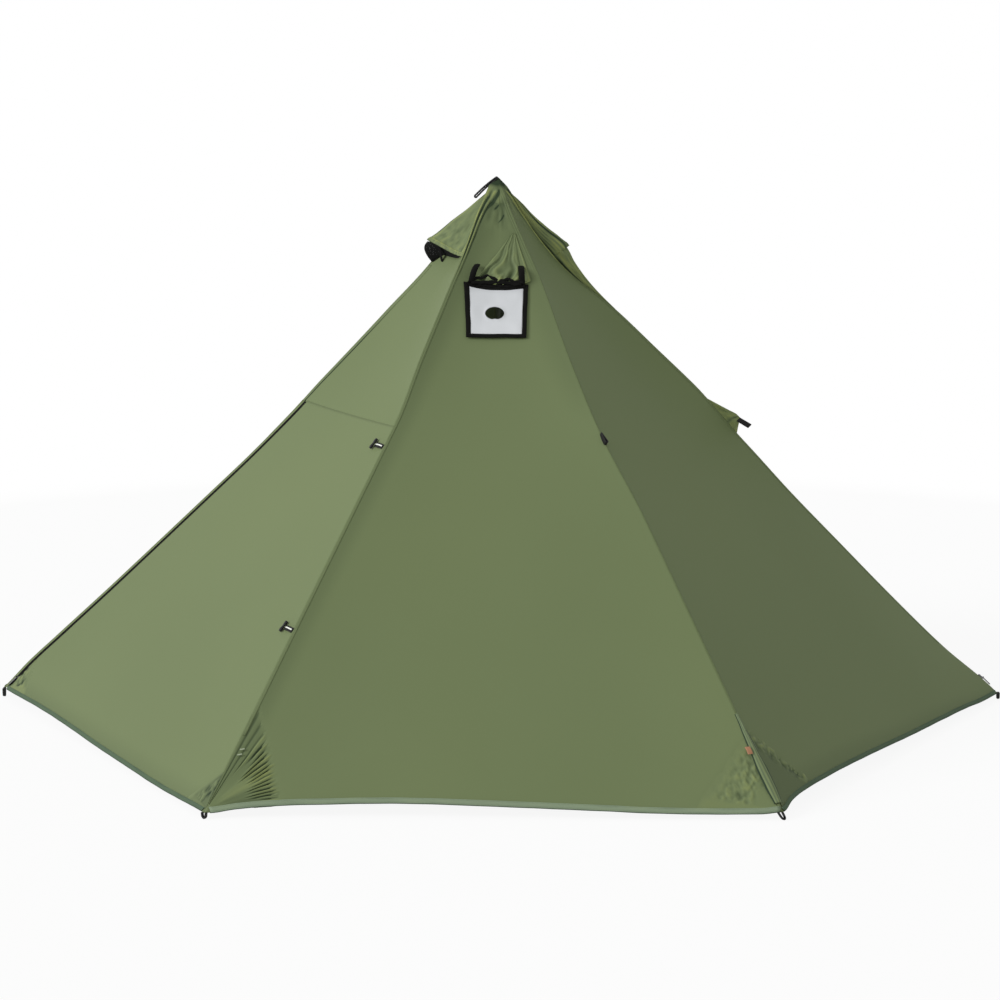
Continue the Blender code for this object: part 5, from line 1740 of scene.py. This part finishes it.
    def build_bar(self, name: str, centre: Vector, along: Vector) -> Object:
        """Make a toggle bar with a narrow waist.

        Args:
            name: Name of the piece.
            centre: Its middle.
            along: Direction of the bar.

        Returns:
            The finished object.
        """
        bm = bmesh.new()
        bmesh.ops.create_cone(
            bm, cap_ends=True, segments=24, radius1=self.bar_radius, radius2=self.bar_radius, depth=self.bar_length)
        end = self.bar_length / 2
        sides = [e for e in bm.edges if abs(e.verts[0].co.z - e.verts[1].co.z) > 0.01]
        bmesh.ops.subdivide_edges(bm, edges=sides, cuts=9, use_grid_fill=False)
        for vert in bm.verts:
            waist = 1 - 0.26 * math.cos(math.pi * min(abs(vert.co.z) / 0.010, 1.0) / 2) ** 2
            crown = 1 - 0.18 * smooth(abs(vert.co.z), end - 0.004, end)
            vert.co.x *= waist * crown
            vert.co.y *= waist * crown
        caps = [edge for edge in bm.edges if all(abs(abs(v.co.z) - end) < 1e-5 for v in edge.verts)]
        bmesh.ops.bevel(bm, geom=caps, offset=0.0008, segments=2, profile=0.5, affect="EDGES", material=-1)
        matrix = Matrix.Translation(centre) @ along.to_track_quat("Z", "Y").to_matrix().to_4x4()
        bmesh.ops.transform(bm, matrix=matrix, verts=bm.verts[:])
        return finish_mesh(name, bm)


@dataclass(frozen=True)
class FootTurn:
    """One crumpled turn of the rain flap's bound foot, between two shares of the patch's width."""

    start: float
    end: float
    base: float
    rise: float
    width: float
    level: float
    seed: float


FOOT_TURNS = (
    FootTurn(0.0, 1.0, 0.000, 0.002, 0.0145, 0.0040, 1.0),
    FootTurn(0.02, 0.66, 0.007, 0.026, 0.0110, 0.0085, 3.0),
    FootTurn(0.34, 0.98, 0.007, 0.014, 0.0100, 0.0100, 6.0),
    FootTurn(0.06, 0.94, 0.002, 0.009, 0.0120, 0.0090, 9.0),
)


@dataclass
class StovePatch:
    """Heat-proof patch with its bound edge, its folded rain flap and the flap's straps."""

    yard: Yard
    panel: Panel
    width: float = 0.182
    height: float = 0.202
    shift: float = -0.005
    top_below_collar: float = 0.362
    border: float = 0.014
    hole_width: float = 0.058
    hole_height: float = 0.048
    hole_x: float = -0.006
    hole_below_middle: float = 0.009
    flap_height: float = 0.196
    flap_point_x: float = 0.048
    strap_length: float = 0.066
    strap_arch: float = 0.017

    @property
    def top(self) -> float:
        """Run of the patch's top edge."""
        return self.yard.shape.length - self.top_below_collar - 0.005

    def build(self) -> None:
        """Make the patch and all that is sewn to it."""
        self.build_cloth()
        self.build_binding()
        self.build_flap()
        for side in (-1, 1):
            self.build_strap(side)

    @property
    def middle(self) -> float:
        """Run of the patch's middle."""
        return self.top - self.height / 2

    def outline(self, turn: float, inward: float) -> Spot:
        """Point on a rectangle inside the patch's outer edge.

        Args:
            turn: From 0 to 4, one for each side.
            inward: Distance inside the outer edge.

        Returns:
            Sideways and upward distance from its middle.
        """
        wide, high = self.width / 2 - inward, self.height / 2 - inward
        side, share = int(turn) % 4, 2 * (turn - int(turn)) - 1
        return [(wide * share, -high), (wide, high * share), (-wide * share, high), (-wide, -high * share)][side]

    def build_cloth(self) -> None:
        """Pale cloth with its wide hole, which is nicked at its foot."""
        def spot(turn: float, reach: float) -> Spot:
            """Place of a point on the flat cloth."""
            x, y = self.outline(turn, self.border - 0.003)
            angle = math.atan2(y + self.hole_below_middle, x - self.hole_x)
            nick = 1 - 0.13 * bell(math.sin((angle + math.pi / 2) / 2), 0.0, 0.11)
            narrow = 1 - 0.07 * max(math.sin(angle), 0.0)
            inner_x = self.hole_x + self.hole_width / 2 * math.cos(angle) * narrow
            inner_y = self.hole_height / 2 * math.sin(angle) * nick - self.hole_below_middle
            return inner_x + (x - inner_x) * reach, self.middle + inner_y + (y - inner_y) * reach

        def place(turn: float, reach: float) -> Vector:
            """Place of a point."""
            x, run = spot(turn, reach)
            curl = 0.0016 * (1 - smooth(reach, 0.0, 0.10))
            puff = 0.0018 * ripple(x * 22, run * 22, 6.0)
            puff *= smooth(reach, 0.0, 0.3) * (1 - smooth(reach, 0.8, 1.0))
            return self.panel.bare(x + self.shift, run, 0.0016 + curl + puff)

        def shade(turn: float, reach: float) -> float:
            """Painted shade at the hole's edge and under the flap, with random tone."""
            x, run = spot(turn, reach)
            edge = -0.9 * (1 - smooth(reach, 0.0, 0.04))
            shadow = -0.35 * smooth(run, self.top - 0.040, self.top - 0.016)
            return edge + shadow + 0.3 * ripple(x * 12, run * 9, 3.0)

        patch = ClothGrid(
            "heat_cloth", even(0, 4, 128), [0.0, 0.03, 0.08, 0.2, 0.35, 0.5, 0.65, 0.8, 0.9, 1.0], place,
            self.panel.out(self.middle), uv=spot, shade=shade, thickness=0.0008, closed=True,
        ).build()
        self.yard.place(patch, Look.PATCH, "jack_patch")

    def build_binding(self) -> None:
        """Black bound edge round the patch."""
        section = (
            (0.0, 0.0006), (0.0006, 0.0028), (0.003, 0.0036), (0.007, 0.0038), (0.011, 0.0035), (0.0134, 0.0027),
            (0.014, 0.0008),
        )

        def place(turn: float, step: float) -> Vector:
            """Place of a point."""
            inward, level = section[int(step)]
            x, y = self.outline(turn, inward)
            wobble = 0.0012 * ripple(x * 20, y * 20, 7.0)
            sag = 0.008 * (1 - (2 * x / self.width) ** 2) * inward / self.border if 2 <= turn % 4 < 3 else 0.0
            return self.panel.bare(x + wobble + self.shift, self.middle + y + wobble - sag, level)

        # Patches of painted highlight and painted shade on the black binding.
        binding = ClothGrid(
            "heat_cloth_binding", even(0, 4, 128), steps(section), place,
            self.panel.out(self.middle), uv=lambda t, s: (section[int(s)][0], t * self.height),
            shade=lambda t, s: 0.12 * ripple(t * 9, s, 4.0), thickness=0.0008, closed=True,
        ).build()
        self.yard.place(binding, Look.BOUND, "jack_binding")

    def flap_spot(self, share: float, climb: float) -> Spot:
        """Sideways place and run of a point of the flap, from its foot to its point."""
        half = self.width / 2 - self.border - 0.006
        left = -half + (self.flap_point_x + half - 0.004) * climb
        wing = 0.032 * smooth(climb, 0.0, 0.10)
        right = half + wing + (self.flap_point_x - half - wing + 0.004) * climb
        run = self.top - 0.004 + (self.flap_height + 0.004) * climb
        return self.shift + left + (right - left) * share, run

    def flap_fold(self, share: float, climb: float) -> float:
        """Folds that spread from the flap's point, from about -1 to 1."""
        phase = 2 * math.pi * 2.6 * share + 3.0 * ripple(share * 2, climb * 3.5, 4.0)
        fan = 0.8 * math.cos(phase) + 0.4 * math.cos(2.6 * phase + 2) + 0.9 * ripple(share * 7, climb * 6, 9.0)
        wing = smooth(share, 0.80, 0.86)
        return fan * (1 - wing) * (0.45 + 0.55 * (1 - climb)) + wing * 0.25

    def build_flap(self) -> None:
        """Rain flap in folds that spread from its point, with its dark bound foot."""
        def bulk(climb: float) -> float:
            """Fullness of the folds at a height."""
            arch = math.sin(math.pi * min(climb * self.flap_height / self.strap_length, 1.0))
            return arch * 0.5 + 0.4 * (1 - climb)

        def place(share: float, climb: float) -> Vector:
            """Place of a point."""
            x, run = self.flap_spot(share, climb)
            flat = smooth(share, 0.0, 0.05) * (1 - smooth(share, 0.76, 0.86))
            crimp = 0.0030 * ripple(share * 14, climb * 26, 6.0) * (1 - smooth(climb, 0.12, 0.30))
            fold = self.flap_fold(share, climb)
            lift = 0.0012 + flat * (0.0085 * bulk(climb) + 0.0042 * (0.4 + bulk(climb)) * fold + crimp)
            rim = bell(share, 0.96, 0.02) * 0.0012
            return self.panel.bare(x, run, max(lift, 0.0008) + rim)

        def shade(share: float, climb: float) -> float:
            """Painted shade and highlight of the flap's folds, a light and a dark painted line near its edge, and
            painted light and dark bits at its foot.
            """
            line = bell(share, 0.965, 0.012) - 0.9 * bell(share, 0.84, 0.012)
            low = smooth(share, 0.08, 0.2) * (1 - smooth(climb, 0.05, 0.16))
            foot = 0.6 * low * (0.4 + ripple(share * 8, climb * 30, 2.0))
            return 0.42 * self.flap_fold(share, climb) * (1 - 0.35 * climb) - 0.12 + 0.6 * line + foot

        flap = ClothGrid(
            "rain_flap", even(0, 1, 110), even(0, 1, 56), place, self.panel.out(self.top), uv=self.flap_spot,
            shade=shade, thickness=0.0006,
        ).build()
        self.yard.place(flap, Look.CLOTH, "jack_flap")
        edges = [self.build_edge(f"rain_flap_edge_{k + 1}", turn) for k, turn in enumerate(FOOT_TURNS)]

    def build_edge(self, name: str, turn: FootTurn) -> Object:
        """Make one turn of the flap's foot."""
        half = self.width / 2 - self.border + 0.004
        path = []
        for share in even(0.0, 1.0, 48):
            along = turn.start + (turn.end - turn.start) * share
            peak = 1 - abs(2 * share - 1)
            wander = 0.0045 * ripple(along * 9, turn.seed, 3.0)
            run = self.top - 0.006 + turn.base + turn.rise * peak + wander
            lift = turn.level + 0.0030 * ripple(along * 12, turn.seed, 8.0)
            lean = 0.6 * ripple(along * 7, turn.seed, 5.0)
            up, out = self.panel.up(run), self.panel.out(run)
            place = self.panel.bare(self.shift + half * (2 * along - 1), run, lift)
            path.append((place, (up + out * lean).normalized(), (out - up * lean).normalized()))
        return self.yard.place(swept(name, path, turn.width, 0.0030, crown=0.0012), Look.BOUND)

    def build_strap(self, side: int) -> None:
        """Strap over the folded flap."""
        name = hand_name(side)
        path = []
        for share in even(0, 1, 24):
            run = self.top + 0.0003 + self.strap_length * share
            x = self.shift + (-0.071 + 0.018 * share if side < 0 else 0.073 - 0.004 * share)
            level = 0.0048 + self.strap_arch * math.sin(math.pi * share) - 0.0006
            slope = self.strap_arch * math.pi / self.strap_length * math.cos(math.pi * share)
            across = self.panel.side()
            square = (self.panel.out(run) - self.panel.up(run) * slope).normalized()
            path.append((self.panel.bare(x, run, level), across, square))
        strap = swept(f"flap_strap_{name}", path, 0.0190, 0.0030, crown=0.0022)
        self.yard.place(strap, Look.BOUND, f"jack_strap_{name}", body=f"strap_{name}")


def teardrop_path(
    root: Vector, along: Vector, across: Vector, length: float, end_radius: float, root_radius: float,
    steps: int = 40,
) -> Path:
    """Closed path of a webbing loop.

    Args:
        root: Place where the loop starts.
        along: Direction that the loop points.
        across: Direction of the strap's width.
        length: Length of the loop to the strap's middle line.
        end_radius: Radius of its round end.
        root_radius: Radius of its root.
        steps: Number of points.

    Returns:
        Centre, across direction and face direction at each point.
    """
    def arc(middle: float, radius: float, low: float, high: float, count: int) -> list[Spot]:
        """Points along an arc."""
        return [(middle + radius * math.cos(a), radius * math.sin(a)) for a in even(low, high, count)]

    def straight(first: Spot, last: Spot) -> list[Spot]:
        """Points between two ends."""
        line = even(0, 1, steps // 6)[1:-1]
        return [(first[0] * (1 - s) + last[0] * s, first[1] * (1 - s) + last[1] * s) for s in line]

    sidewise = across.cross(along).normalized()
    end = length - end_radius
    quarter = math.pi / 2 + math.asin((end_radius - root_radius) / (end - root_radius))
    outer = arc(end, end_radius, -quarter, quarter, steps // 3)
    inner = arc(root_radius, root_radius, quarter, 2 * math.pi - quarter, steps // 5)
    flat = outer + straight(outer[-1], inner[0]) + inner + straight(inner[-1], outer[0])
    path = []
    for k, (a, b) in enumerate(flat):
        after = flat[(k + 1) % len(flat)]
        before = flat[k - 1]
        tangent = along * (after[0] - before[0]) + sidewise * (after[1] - before[1])
        path.append((root + along * a + sidewise * b, across, tangent.cross(across).normalized()))
    return path


@dataclass
class GroundLoops:
    """Webbing loop at each hem corner."""

    yard: Yard
    top_width: float = 0.0150
    foot_width: float = 0.0100
    depth: float = 0.010
    cloth: float = 0.0060
    lean: float = 0.015

    def build(self) -> None:
        """Make the six loops."""
        for side in RidgeSide:
            self.build_loop(side)

    def build_loop(self, side: RidgeSide) -> None:
        """Make one loop, from the hem down to the ground and back."""
        shape = self.yard.shape
        out = side.turn @ Vector((0, -1, 0))
        tangent = side.turn @ Vector((1, 0, 0))
        dip = HEMS.get(Facing((side.value - 30) % 360), PLAIN_HEM)[-1][1]
        top = shape.hem_corner_height + 0.001 + 0.70 * dip
        foot = self.foot_width / 2 - 0.0008
        head = self.top_width / 2 - 0.0008
        half = [
            (head, top), (head * 0.93, top * 0.75), (foot * 1.30, top * 0.4), (foot, 0.0062), (foot * 0.62, 0.0038),
        ]
        outline = half + [(0.0, 0.0032)] + [(-a, z) for a, z in reversed(half)]
        centre = out * (shape.corner_radius + 0.001 - 0.67 * dip)
        path = []
        for k, (a, z) in enumerate(outline):
            after = outline[min(k + 1, len(outline) - 1)]
            before = outline[max(k - 1, 0)]
            way = tangent * (after[0] - before[0]) + Vector((0, 0, after[1] - before[1]))
            slant = (0.3 - z / top) * self.lean + 0.001 if side is RidgeSide.FRONT_RIGHT else 0.0
            path.append((centre + tangent * (a + slant) + Vector((0, 0, z)), out, way.cross(out).normalized()))
        loop = swept(f"ground_loop_{side.label}", path, self.depth, self.cloth)
        self.yard.place(loop, Look.WEBBING, f"peg_loop_{side.label}")


@dataclass
class GuyPoints:
    """Loops for guy lines half way up four ridges, two of them on cloth fins."""

    yard: Yard
    panels: dict[Facing, Panel]
    run: float = 1.275
    bare_run: float = 1.330
    loop_length: float = 0.042
    end_radius: float = 0.0048
    strap_width: float = 0.016
    webbing: float = 0.0016
    fin_base: float = 0.160
    fin_height: float = 0.060
    fin_tip_share: float = 0.24
    fin_drop: float = 0.008
    loop_lift: float = math.radians(9)
    fin_loop_lift: float = math.radians(13)

    def build(self) -> None:
        """Make the four guy points."""
        shape = self.yard.shape
        for side, label in ((RidgeSide.FRONT_RIGHT, "front_right"), (RidgeSide.BACK_LEFT, "back_left")):
            root = shape.ridge_place(side, self.bare_run, 0.0003 + self.webbing * (1 - math.sin(self.loop_lift)))
            self.build_loop(label, root, self.downward(side, self.loop_lift), shape.ridge_out(side, self.run))
        self.build_standing_fin()
        self.build_lying_fin()

    def downward(self, side: RidgeSide, lift: float) -> Vector:
        """Direction down a ridge, turned outward by an angle."""
        shape = self.yard.shape
        return shape.ridge_out(side, self.run) * math.sin(lift) - shape.ridge_up(side, self.run) * math.cos(lift)

    @property
    def tip_run(self) -> float:
        """Run of the middle of a fin's tip."""
        return self.run + self.fin_base * (self.fin_tip_share - 0.5)

    def build_loop(self, label: str, root: Vector, along: Vector, across: Vector) -> None:
        """Make one loop of webbing.

        Args:
            label: Name of its ridge.
            root: Place where it is sewn on.
            along: Direction from there to its end.
            across: Direction of the webbing's width.
        """
        half = self.webbing / 2
        path = teardrop_path(
            root, along, across, self.loop_length - half, self.end_radius - half, self.webbing * 0.6)
        loop = swept(f"guy_webbing_{label}", path, self.strap_width, self.webbing * 1.6, ring=True)
        self.yard.place(loop, Look.WEBBING, f"guy_loop_{label}")

    def fin_piece(self, label: str, place: Place, out: Vector) -> None:
        """Make a fin's cloth, with painted shade and highlight and a painted dark crease line.

        Args:
            label: Name of its ridge.
            place: Its shape.
            out: Direction that its outer face looks.
        """
        # Painted highlight over the fin, random painted shade and highlight, and a painted dark line across it.
        fin = ClothGrid(
            f"guy_cloth_{label}", even(0, 1, 36), even(0, 1, 18), place, out,
            uv=lambda s, h: (s * 0.16, h * 0.05),
            shade=lambda s, h: 0.35 + 0.6 * ripple(s * 9, h * 2, 3.0) - 0.6 * bell(s - 0.1 * h, 0.30, 0.05),
            thickness=0.0010,
        ).build()
        self.yard.place(fin, Look.CLOTH, f"guy_fin_{label}")

    def build_standing_fin(self) -> None:
        """Fin drawn outward from the right ridge, with its loop."""
        shape = self.yard.shape
        side = RidgeSide.RIGHT
        low = self.run - self.fin_base / 2 - self.fin_drop
        tip = self.tip_run - self.fin_drop
        out = shape.ridge_out(side, self.run)
        across = side.turn @ Vector((1, 0, 0))

        def bare(run: float, level: float) -> Vector:
            """Place beside the ridge before it is drawn outward."""
            return shape.ridge_place(side, run, level) - shape.drawn(side, run)

        def place(share: float, height: float) -> Vector:
            """Place of a point."""
            foot = low + self.fin_base * share
            top = tip + self.strap_width * (share - 0.5)
            start = shape.ridge_place(side, foot, -0.004)
            end = bare(top, self.fin_height)
            flutter = 0.004 * ripple(share * 4, height * 3, 2.0) * math.sin(math.pi * min(height, 1.0))
            hollow = 0.008 * math.sin(math.pi * height) * (share if share < 0.3 else (1 - share) * 0.3)
            return start.lerp(end, height) + across * flutter - out * hollow

        self.fin_piece("right", place, side.turn @ Vector((-1, 0, 0)))
        root = bare(tip - self.strap_width / 2 - 0.001, self.fin_height - self.strap_width / 2)
        self.build_loop("right", root, self.downward(side, self.fin_loop_lift), out)

    def build_lying_fin(self) -> None:
        """Fin folded flat beside the left ridge, with its loop."""
        shape = self.yard.shape
        panel = self.panels[Facing.BACK_LEFT]
        low = self.run - self.fin_base / 2
        tip = shape.half_width(self.tip_run) - self.fin_height

        def place(share: float, reach: float) -> Vector:
            """Place of a point."""
            foot = low + self.fin_base * share
            run = foot + (self.tip_run + self.strap_width * (share - 0.5) - foot) * reach
            right = shape.half_width(foot) - 0.0012
            x = right + (tip - right) * reach
            swell = 0.0010 * (1 + ripple(share * 5, reach * 4, 1.0)) * math.sin(math.pi * reach)
            return panel.bare(x, run, 0.0014 + swell)

        self.fin_piece("left", place, panel.out(self.run))
        out = panel.out(self.tip_run)
        tilt = math.atan2(self.end_radius, self.loop_length)
        along = -panel.side() * math.cos(tilt) + out * math.sin(tilt)
        root = panel.bare(tip - 0.0003, self.tip_run, 0.0003 + self.webbing)
        self.build_loop("left", root, along, panel.up(self.tip_run))


@dataclass
class CornerTrim:
    """Strip with its small tab at the front-right corner, and the tacks at the front-left ridge."""

    yard: Yard
    panels: dict[Facing, Panel]
    foot_run: float = 0.020
    length: float = 0.300
    width: float = 0.036
    tab_run: float = 0.184
    tack_runs: tuple[float, float] = (0.172, 0.190)

    def build(self) -> None:
        """Make the trim."""
        self.build_strip(RidgeSide.FRONT_RIGHT)
        self.build_tacks(self.panels[Facing.FRONT])

    def build_strip(self, side: RidgeSide) -> None:
        """Make the strip along a ridge, with its tab."""
        shape = self.yard.shape
        across = side.turn @ Vector((1, 0, 0))

        def place(share: float, climb: float) -> Vector:
            """Place of a point."""
            run = self.foot_run + self.length * climb
            taper = 0.75 + 0.25 * smooth(climb, 0.0, 0.18)
            taper -= 0.30 * smooth(climb, 0.35, 0.60) + 0.38 * smooth(climb, 0.60, 1.0)
            fall = abs(share) ** 1.4
            level = 0.0036 - 0.0058 * fall + 0.0009 * ripple(share * 2, climb * 9, 2.0)
            return shape.ridge_place(side, run, level) + across * share * self.width / 2 * taper

        def shade(share: float, climb: float) -> float:
            """Painted shade along the strip's edges, stronger on one edge and towards its top, with painted fold
            lines across it.
            """
            folds = 0.5 * math.cos(9.0 * share + 2.0 * ripple(climb * 3, 1.0, 2.0)) * (1 - 0.5 * climb)
            edge = (2.4 if share < 0 else 1.4) * smooth(abs(share), 0.66, 0.92)
            return 0.05 + folds - edge - 0.25 * smooth(climb, 0.5, 1.0)

        strip = ClothGrid(
            "corner_strip", even(-1, 1, 16), even(0, 1, 50), place, shape.ridge_out(side, 0.1),
            uv=lambda s, c: (s * 0.015, c * self.length), shade=shade, thickness=0.0010,
        ).build()
        self.yard.place(strip, Look.STRIP, "ridge_strip")
        path = []
        for share in even(0, 1, 6):
            run = self.tab_run + 0.024 * share
            middle = shape.ridge_place(side, run, 0.0030 + 0.0015 * math.sin(math.pi * share))
            path.append((middle - across * self.width / 2, across, shape.ridge_out(side, run)))
        tab = self.yard.place(swept("corner_tab", path, 0.017, 0.0014), Look.TAB)
        self.length

    def build_tacks(self, panel: Panel) -> None:
        """Make the rows of pale thread beside a panel's left ridge."""
        for number, run in enumerate(self.tack_runs):
            path = []
            for share in even(0, 1, 4):
                x = -(panel.shape.half_width(run) - 0.015 - 0.013 * share)
                path.append((panel.bare(x, run + 0.003 * share, 0.0056), panel.up(run), panel.out(run)))
            self.yard.place(swept(f"ridge_tack_{number + 1}", path, 0.0042, 0.0012), Look.THREAD)


@dataclass
class Apex:
    """Cap over the collar and the hanging loop on it."""

    yard: Yard
    panels: dict[Facing, Panel]
    cap_depth: float = 0.060
    tip_lean: float = 0.003
    tip_rise: float = 0.010
    cap_gap: float = 0.0005
    cloth: float = 0.0020
    loop_length: float = 0.090
    root_radius: float = 0.0052
    end_radius: float = 0.0062
    strap: float = 0.0056
    strap_width: float = 0.012
    loop_fall: float = math.radians(41)
    loop_arch: float = 0.003

    def build(self) -> None:
        """Make the cap and the loop."""
        self.build_cap()
        self.build_loop()

    @cached_property
    def top(self) -> float:
        """Height of the cap's tip."""
        shape = self.yard.shape
        along = shape.along(shape.length)
        slope = along.y / -along.x
        face = slope / COS_HALF
        gap = (self.cap_gap + self.cloth) * math.sqrt(1 + face * face)
        return shape.collar_height + shape.collar_radius * slope + gap + self.tip_rise

    def build_cap(self) -> None:
        """Make the cap, whose foot follows the panels."""
        shape = self.yard.shape
        facings = sorted(Facing, key=lambda facing: facing.value)
        peak = Vector((-self.tip_lean, 0.0, self.top))

        def spot(turn: float, drop: float) -> tuple[Panel, float, float]:
            """Place of a point on the flat cloth."""
            panel = self.panels[facings[int(turn) % 6]]
            run = shape.length - self.cap_depth * max(drop - 0.4, 0.0) / 0.6
            return panel, (2 * (turn - int(turn)) - 1) * shape.half_width(run), run

        def place(turn: float, drop: float) -> Vector:
            """Place of a point."""
            panel, x, run = spot(turn, drop)
            ring = panel.at(x, run, 0.0026 - 0.0028 * smooth(drop, 0.85, 1.0))
            return peak.lerp(ring, min(drop / 0.4, 1.0))

        def shade(turn: float, drop: float) -> float:
            """Painted shade and highlight of a point, from the panels' folds, darker towards the tip."""
            panel, x, run = spot(turn, drop)
            folds = panel.tone(x, run) * smooth(drop, 0.4, 0.6) + 0.5 * ripple(turn * 2, drop * 3, 2.0)
            return folds - 1.3 * (1 - smooth(drop, 0.2, 0.5))

        cap = ClothGrid(
            "apex_cover", even(0, 6, 144), even(0, 1, 20), place, Vector((0, 0, 1)),
            uv=lambda t, d: (t * 0.012, d * 0.06), shade=shade, thickness=0.0009, closed=True,
        ).build()
        self.yard.place(cap, Look.CLOTH, "apex_cap")

    def build_loop(self) -> None:
        """Make the loop, which hangs from the cap in a shallow bend."""
        pivot = Vector((-self.tip_lean - 0.008, 0, self.top - 0.004))
        way = Vector((-math.cos(self.loop_fall), 0, -math.sin(self.loop_fall)))
        start = pivot - way * self.root_radius
        half = self.strap / 2
        path = teardrop_path(
            start, way, Vector((0, 1, 0)), self.loop_length + self.root_radius - half, self.end_radius - half,
            self.root_radius - half, 60)
        for k, (centre, across, square) in enumerate(path):
            away = min(max((centre - start).dot(way) / self.loop_length, 0.0), 1.0)
            arch = Vector((0, 0, self.loop_arch * math.sin(math.pi * away)))
            path[k] = (centre + arch, across, square)
        loop = swept("apex_loop", path, self.strap_width, self.strap * 0.95, ring=True)
        self.yard.place(loop, Look.WEBBING, "top_loop", body="top_loop_body")


@dataclass
class Pole:
    """Two-part pole with its cup, plug, collar and foot."""

    yard: Yard

    def build(self) -> None:
        """Dress the pole's solids."""
        for part, look in (
            ("cup", Look.MOULDED), ("top_plug", Look.RUBBER), ("upper_tube", Look.TUBE),
            ("lock_collar", Look.MOULDED), ("lower_tube", Look.TUBE), ("foot", Look.RUBBER),
        ):
            self.yard.dress(f"pole_{part}", look)


@dataclass
class Studio:
    """Pale floor, soft light and the camera."""

    distance: float = 9.53
    azimuth: float = math.radians(0.641)
    height: float = 2.385
    pan: float = math.radians(-0.010)
    tilt: float = math.radians(10.319)
    lens: float = 109.08
    floor_colour: float = 0.74
    floor_white: float = 0.91
    floor_radius: float = 60.0
    floor_drop: float = 0.0005
    fade_start: float = 2.0
    fade_end: float = 4.5
    sky: float = 0.60
    key: float = 2.41
    key_colour: Colour = (1.0, 0.985, 1.03)
    key_spread: float = math.radians(24)
    key_from: Vector = field(default_factory=lambda: Vector((-0.82, -0.36, 0.47)))

    def build(self) -> None:
        """Make the floor, the lights and the camera."""
        self.build_floor()
        self.build_light()
        self.build_camera()

    def build_floor(self) -> None:
        """Round floor that turns to white away from the tent."""
        bm = bmesh.new()
        bmesh.ops.create_circle(bm, cap_ends=True, segments=96, radius=self.floor_radius)
        material, graph, shader = new_material("studio_floor")
        grey = self.floor_colour
        graph.fill(shader, {"Base Color": (grey, grey, grey, 1.0), "Roughness": 0.9, "Specular IOR Level": 0.0})
        where = graph.add("TexCoord", {}).outputs["Object"]
        far = graph.add("VectorMath", {0: where}, operation="LENGTH").outputs["Value"]
        reach = {"Value": far, "From Min": self.fade_start, "From Max": self.fade_end}
        fade = graph.add("MapRange", reach, interpolation_type="SMOOTHSTEP").outputs["Result"]
        seen = graph.seen_rays("Camera", "Glossy")
        share = graph.math("MULTIPLY", graph.math("MAXIMUM", fade, self.floor_white), seen)
        white = graph.add("Emission", {"Color": WHITE, "Strength": 1.0}).outputs[0]
        blend = graph.add("MixShader", {0: share, 1: shader.outputs[0], 2: white}).outputs[0]
        graph.fill(material.node_tree.nodes["Material Output"], {"Surface": blend})
        floor = finish_mesh("studio_floor", bm)
        floor.data.materials.append(material)
        floor.location.z = -self.floor_drop
        floor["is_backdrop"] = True

    def build_light(self) -> None:
        """Sky light, and a soft key light from the upper left."""
        world = bpy.data.worlds.new("studio_sky")
        world.use_nodes = True
        bpy.context.scene.world = world
        graph = Graph(world.node_tree)
        nodes = world.node_tree.nodes
        sky = graph.fill(nodes["Background"], {"Color": (0.98, 1.0, 0.95, 1), "Strength": self.sky}).outputs[0]
        white = graph.add("Background", {"Color": WHITE, "Strength": 1.0}).outputs[0]
        seen = graph.seen_rays("Camera", "Glossy", "Transmission")
        blend = graph.add("MixShader", {0: seen, 1: sky, 2: white}).outputs[0]
        graph.fill(nodes["World Output"], {"Surface": blend})
        lamp = bpy.data.lights.new("key_light", "SUN")
        lamp.energy = self.key
        lamp.color = self.key_colour
        lamp.angle = self.key_spread
        key = bpy.data.objects.new("key_light", lamp)
        key.rotation_euler = self.key_from.to_track_quat("Z", "Y").to_euler()
        bpy.context.scene.collection.objects.link(key)

    def build_camera(self) -> None:
        """Camera at the photograph's place."""
        lens = bpy.data.cameras.new("view_camera")
        lens.lens = self.lens
        lens.sensor_width = 36.0
        lens.sensor_fit = "HORIZONTAL"
        camera = bpy.data.objects.new("view_camera", lens)
        away = Vector((math.sin(self.azimuth), -math.cos(self.azimuth), 0.0)) * self.distance
        camera.location = away + Vector((0.0, 0.0, self.height))
        yaw = self.azimuth + self.pan
        flat = math.cos(self.tilt)
        forward = Vector((-math.sin(yaw) * flat, math.cos(yaw) * flat, -math.sin(self.tilt)))
        camera.rotation_euler = forward.to_track_quat("-Z", "Y").to_euler()
        bpy.context.scene.collection.objects.link(camera)
        bpy.context.scene.camera = camera


def corners(bounds: Sequence[Vector]) -> list[list[float]]:
    """Bounds as plain lists of numbers."""
    return [[float(value) for value in corner] for corner in bounds]


def main() -> None:
    """Dress the tent and set up the studio."""
    logging.basicConfig(level=logging.INFO, format="%(message)s")
    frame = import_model()
    solid_box = corners(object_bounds())
    scene = bpy.context.scene
    scene.view_settings.view_transform = "Standard"
    effects = SharedEffects()
    yard = Yard(frame, TentShape(), {look: look.value.material(effects) for look in Look})
    Studio().build()
    panels = Canopy(yard).build()
    for door in (DoorSide(yard, Facing.FRONT_LEFT), DoorSide(yard, Facing.BACK_RIGHT, BackHood())):
        panels[door.facing] = door.build()
    StovePatch(yard, panels[Facing.FRONT]).build()
    GroundLoops(yard).build()
    GuyPoints(yard, panels).build()
    CornerTrim(yard, panels).build()
    Apex(yard, panels).build()
    Pole(yard).build()
    {"cad": solid_box, "visual": corners(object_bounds())}


if __name__ == "__main__":
    main()
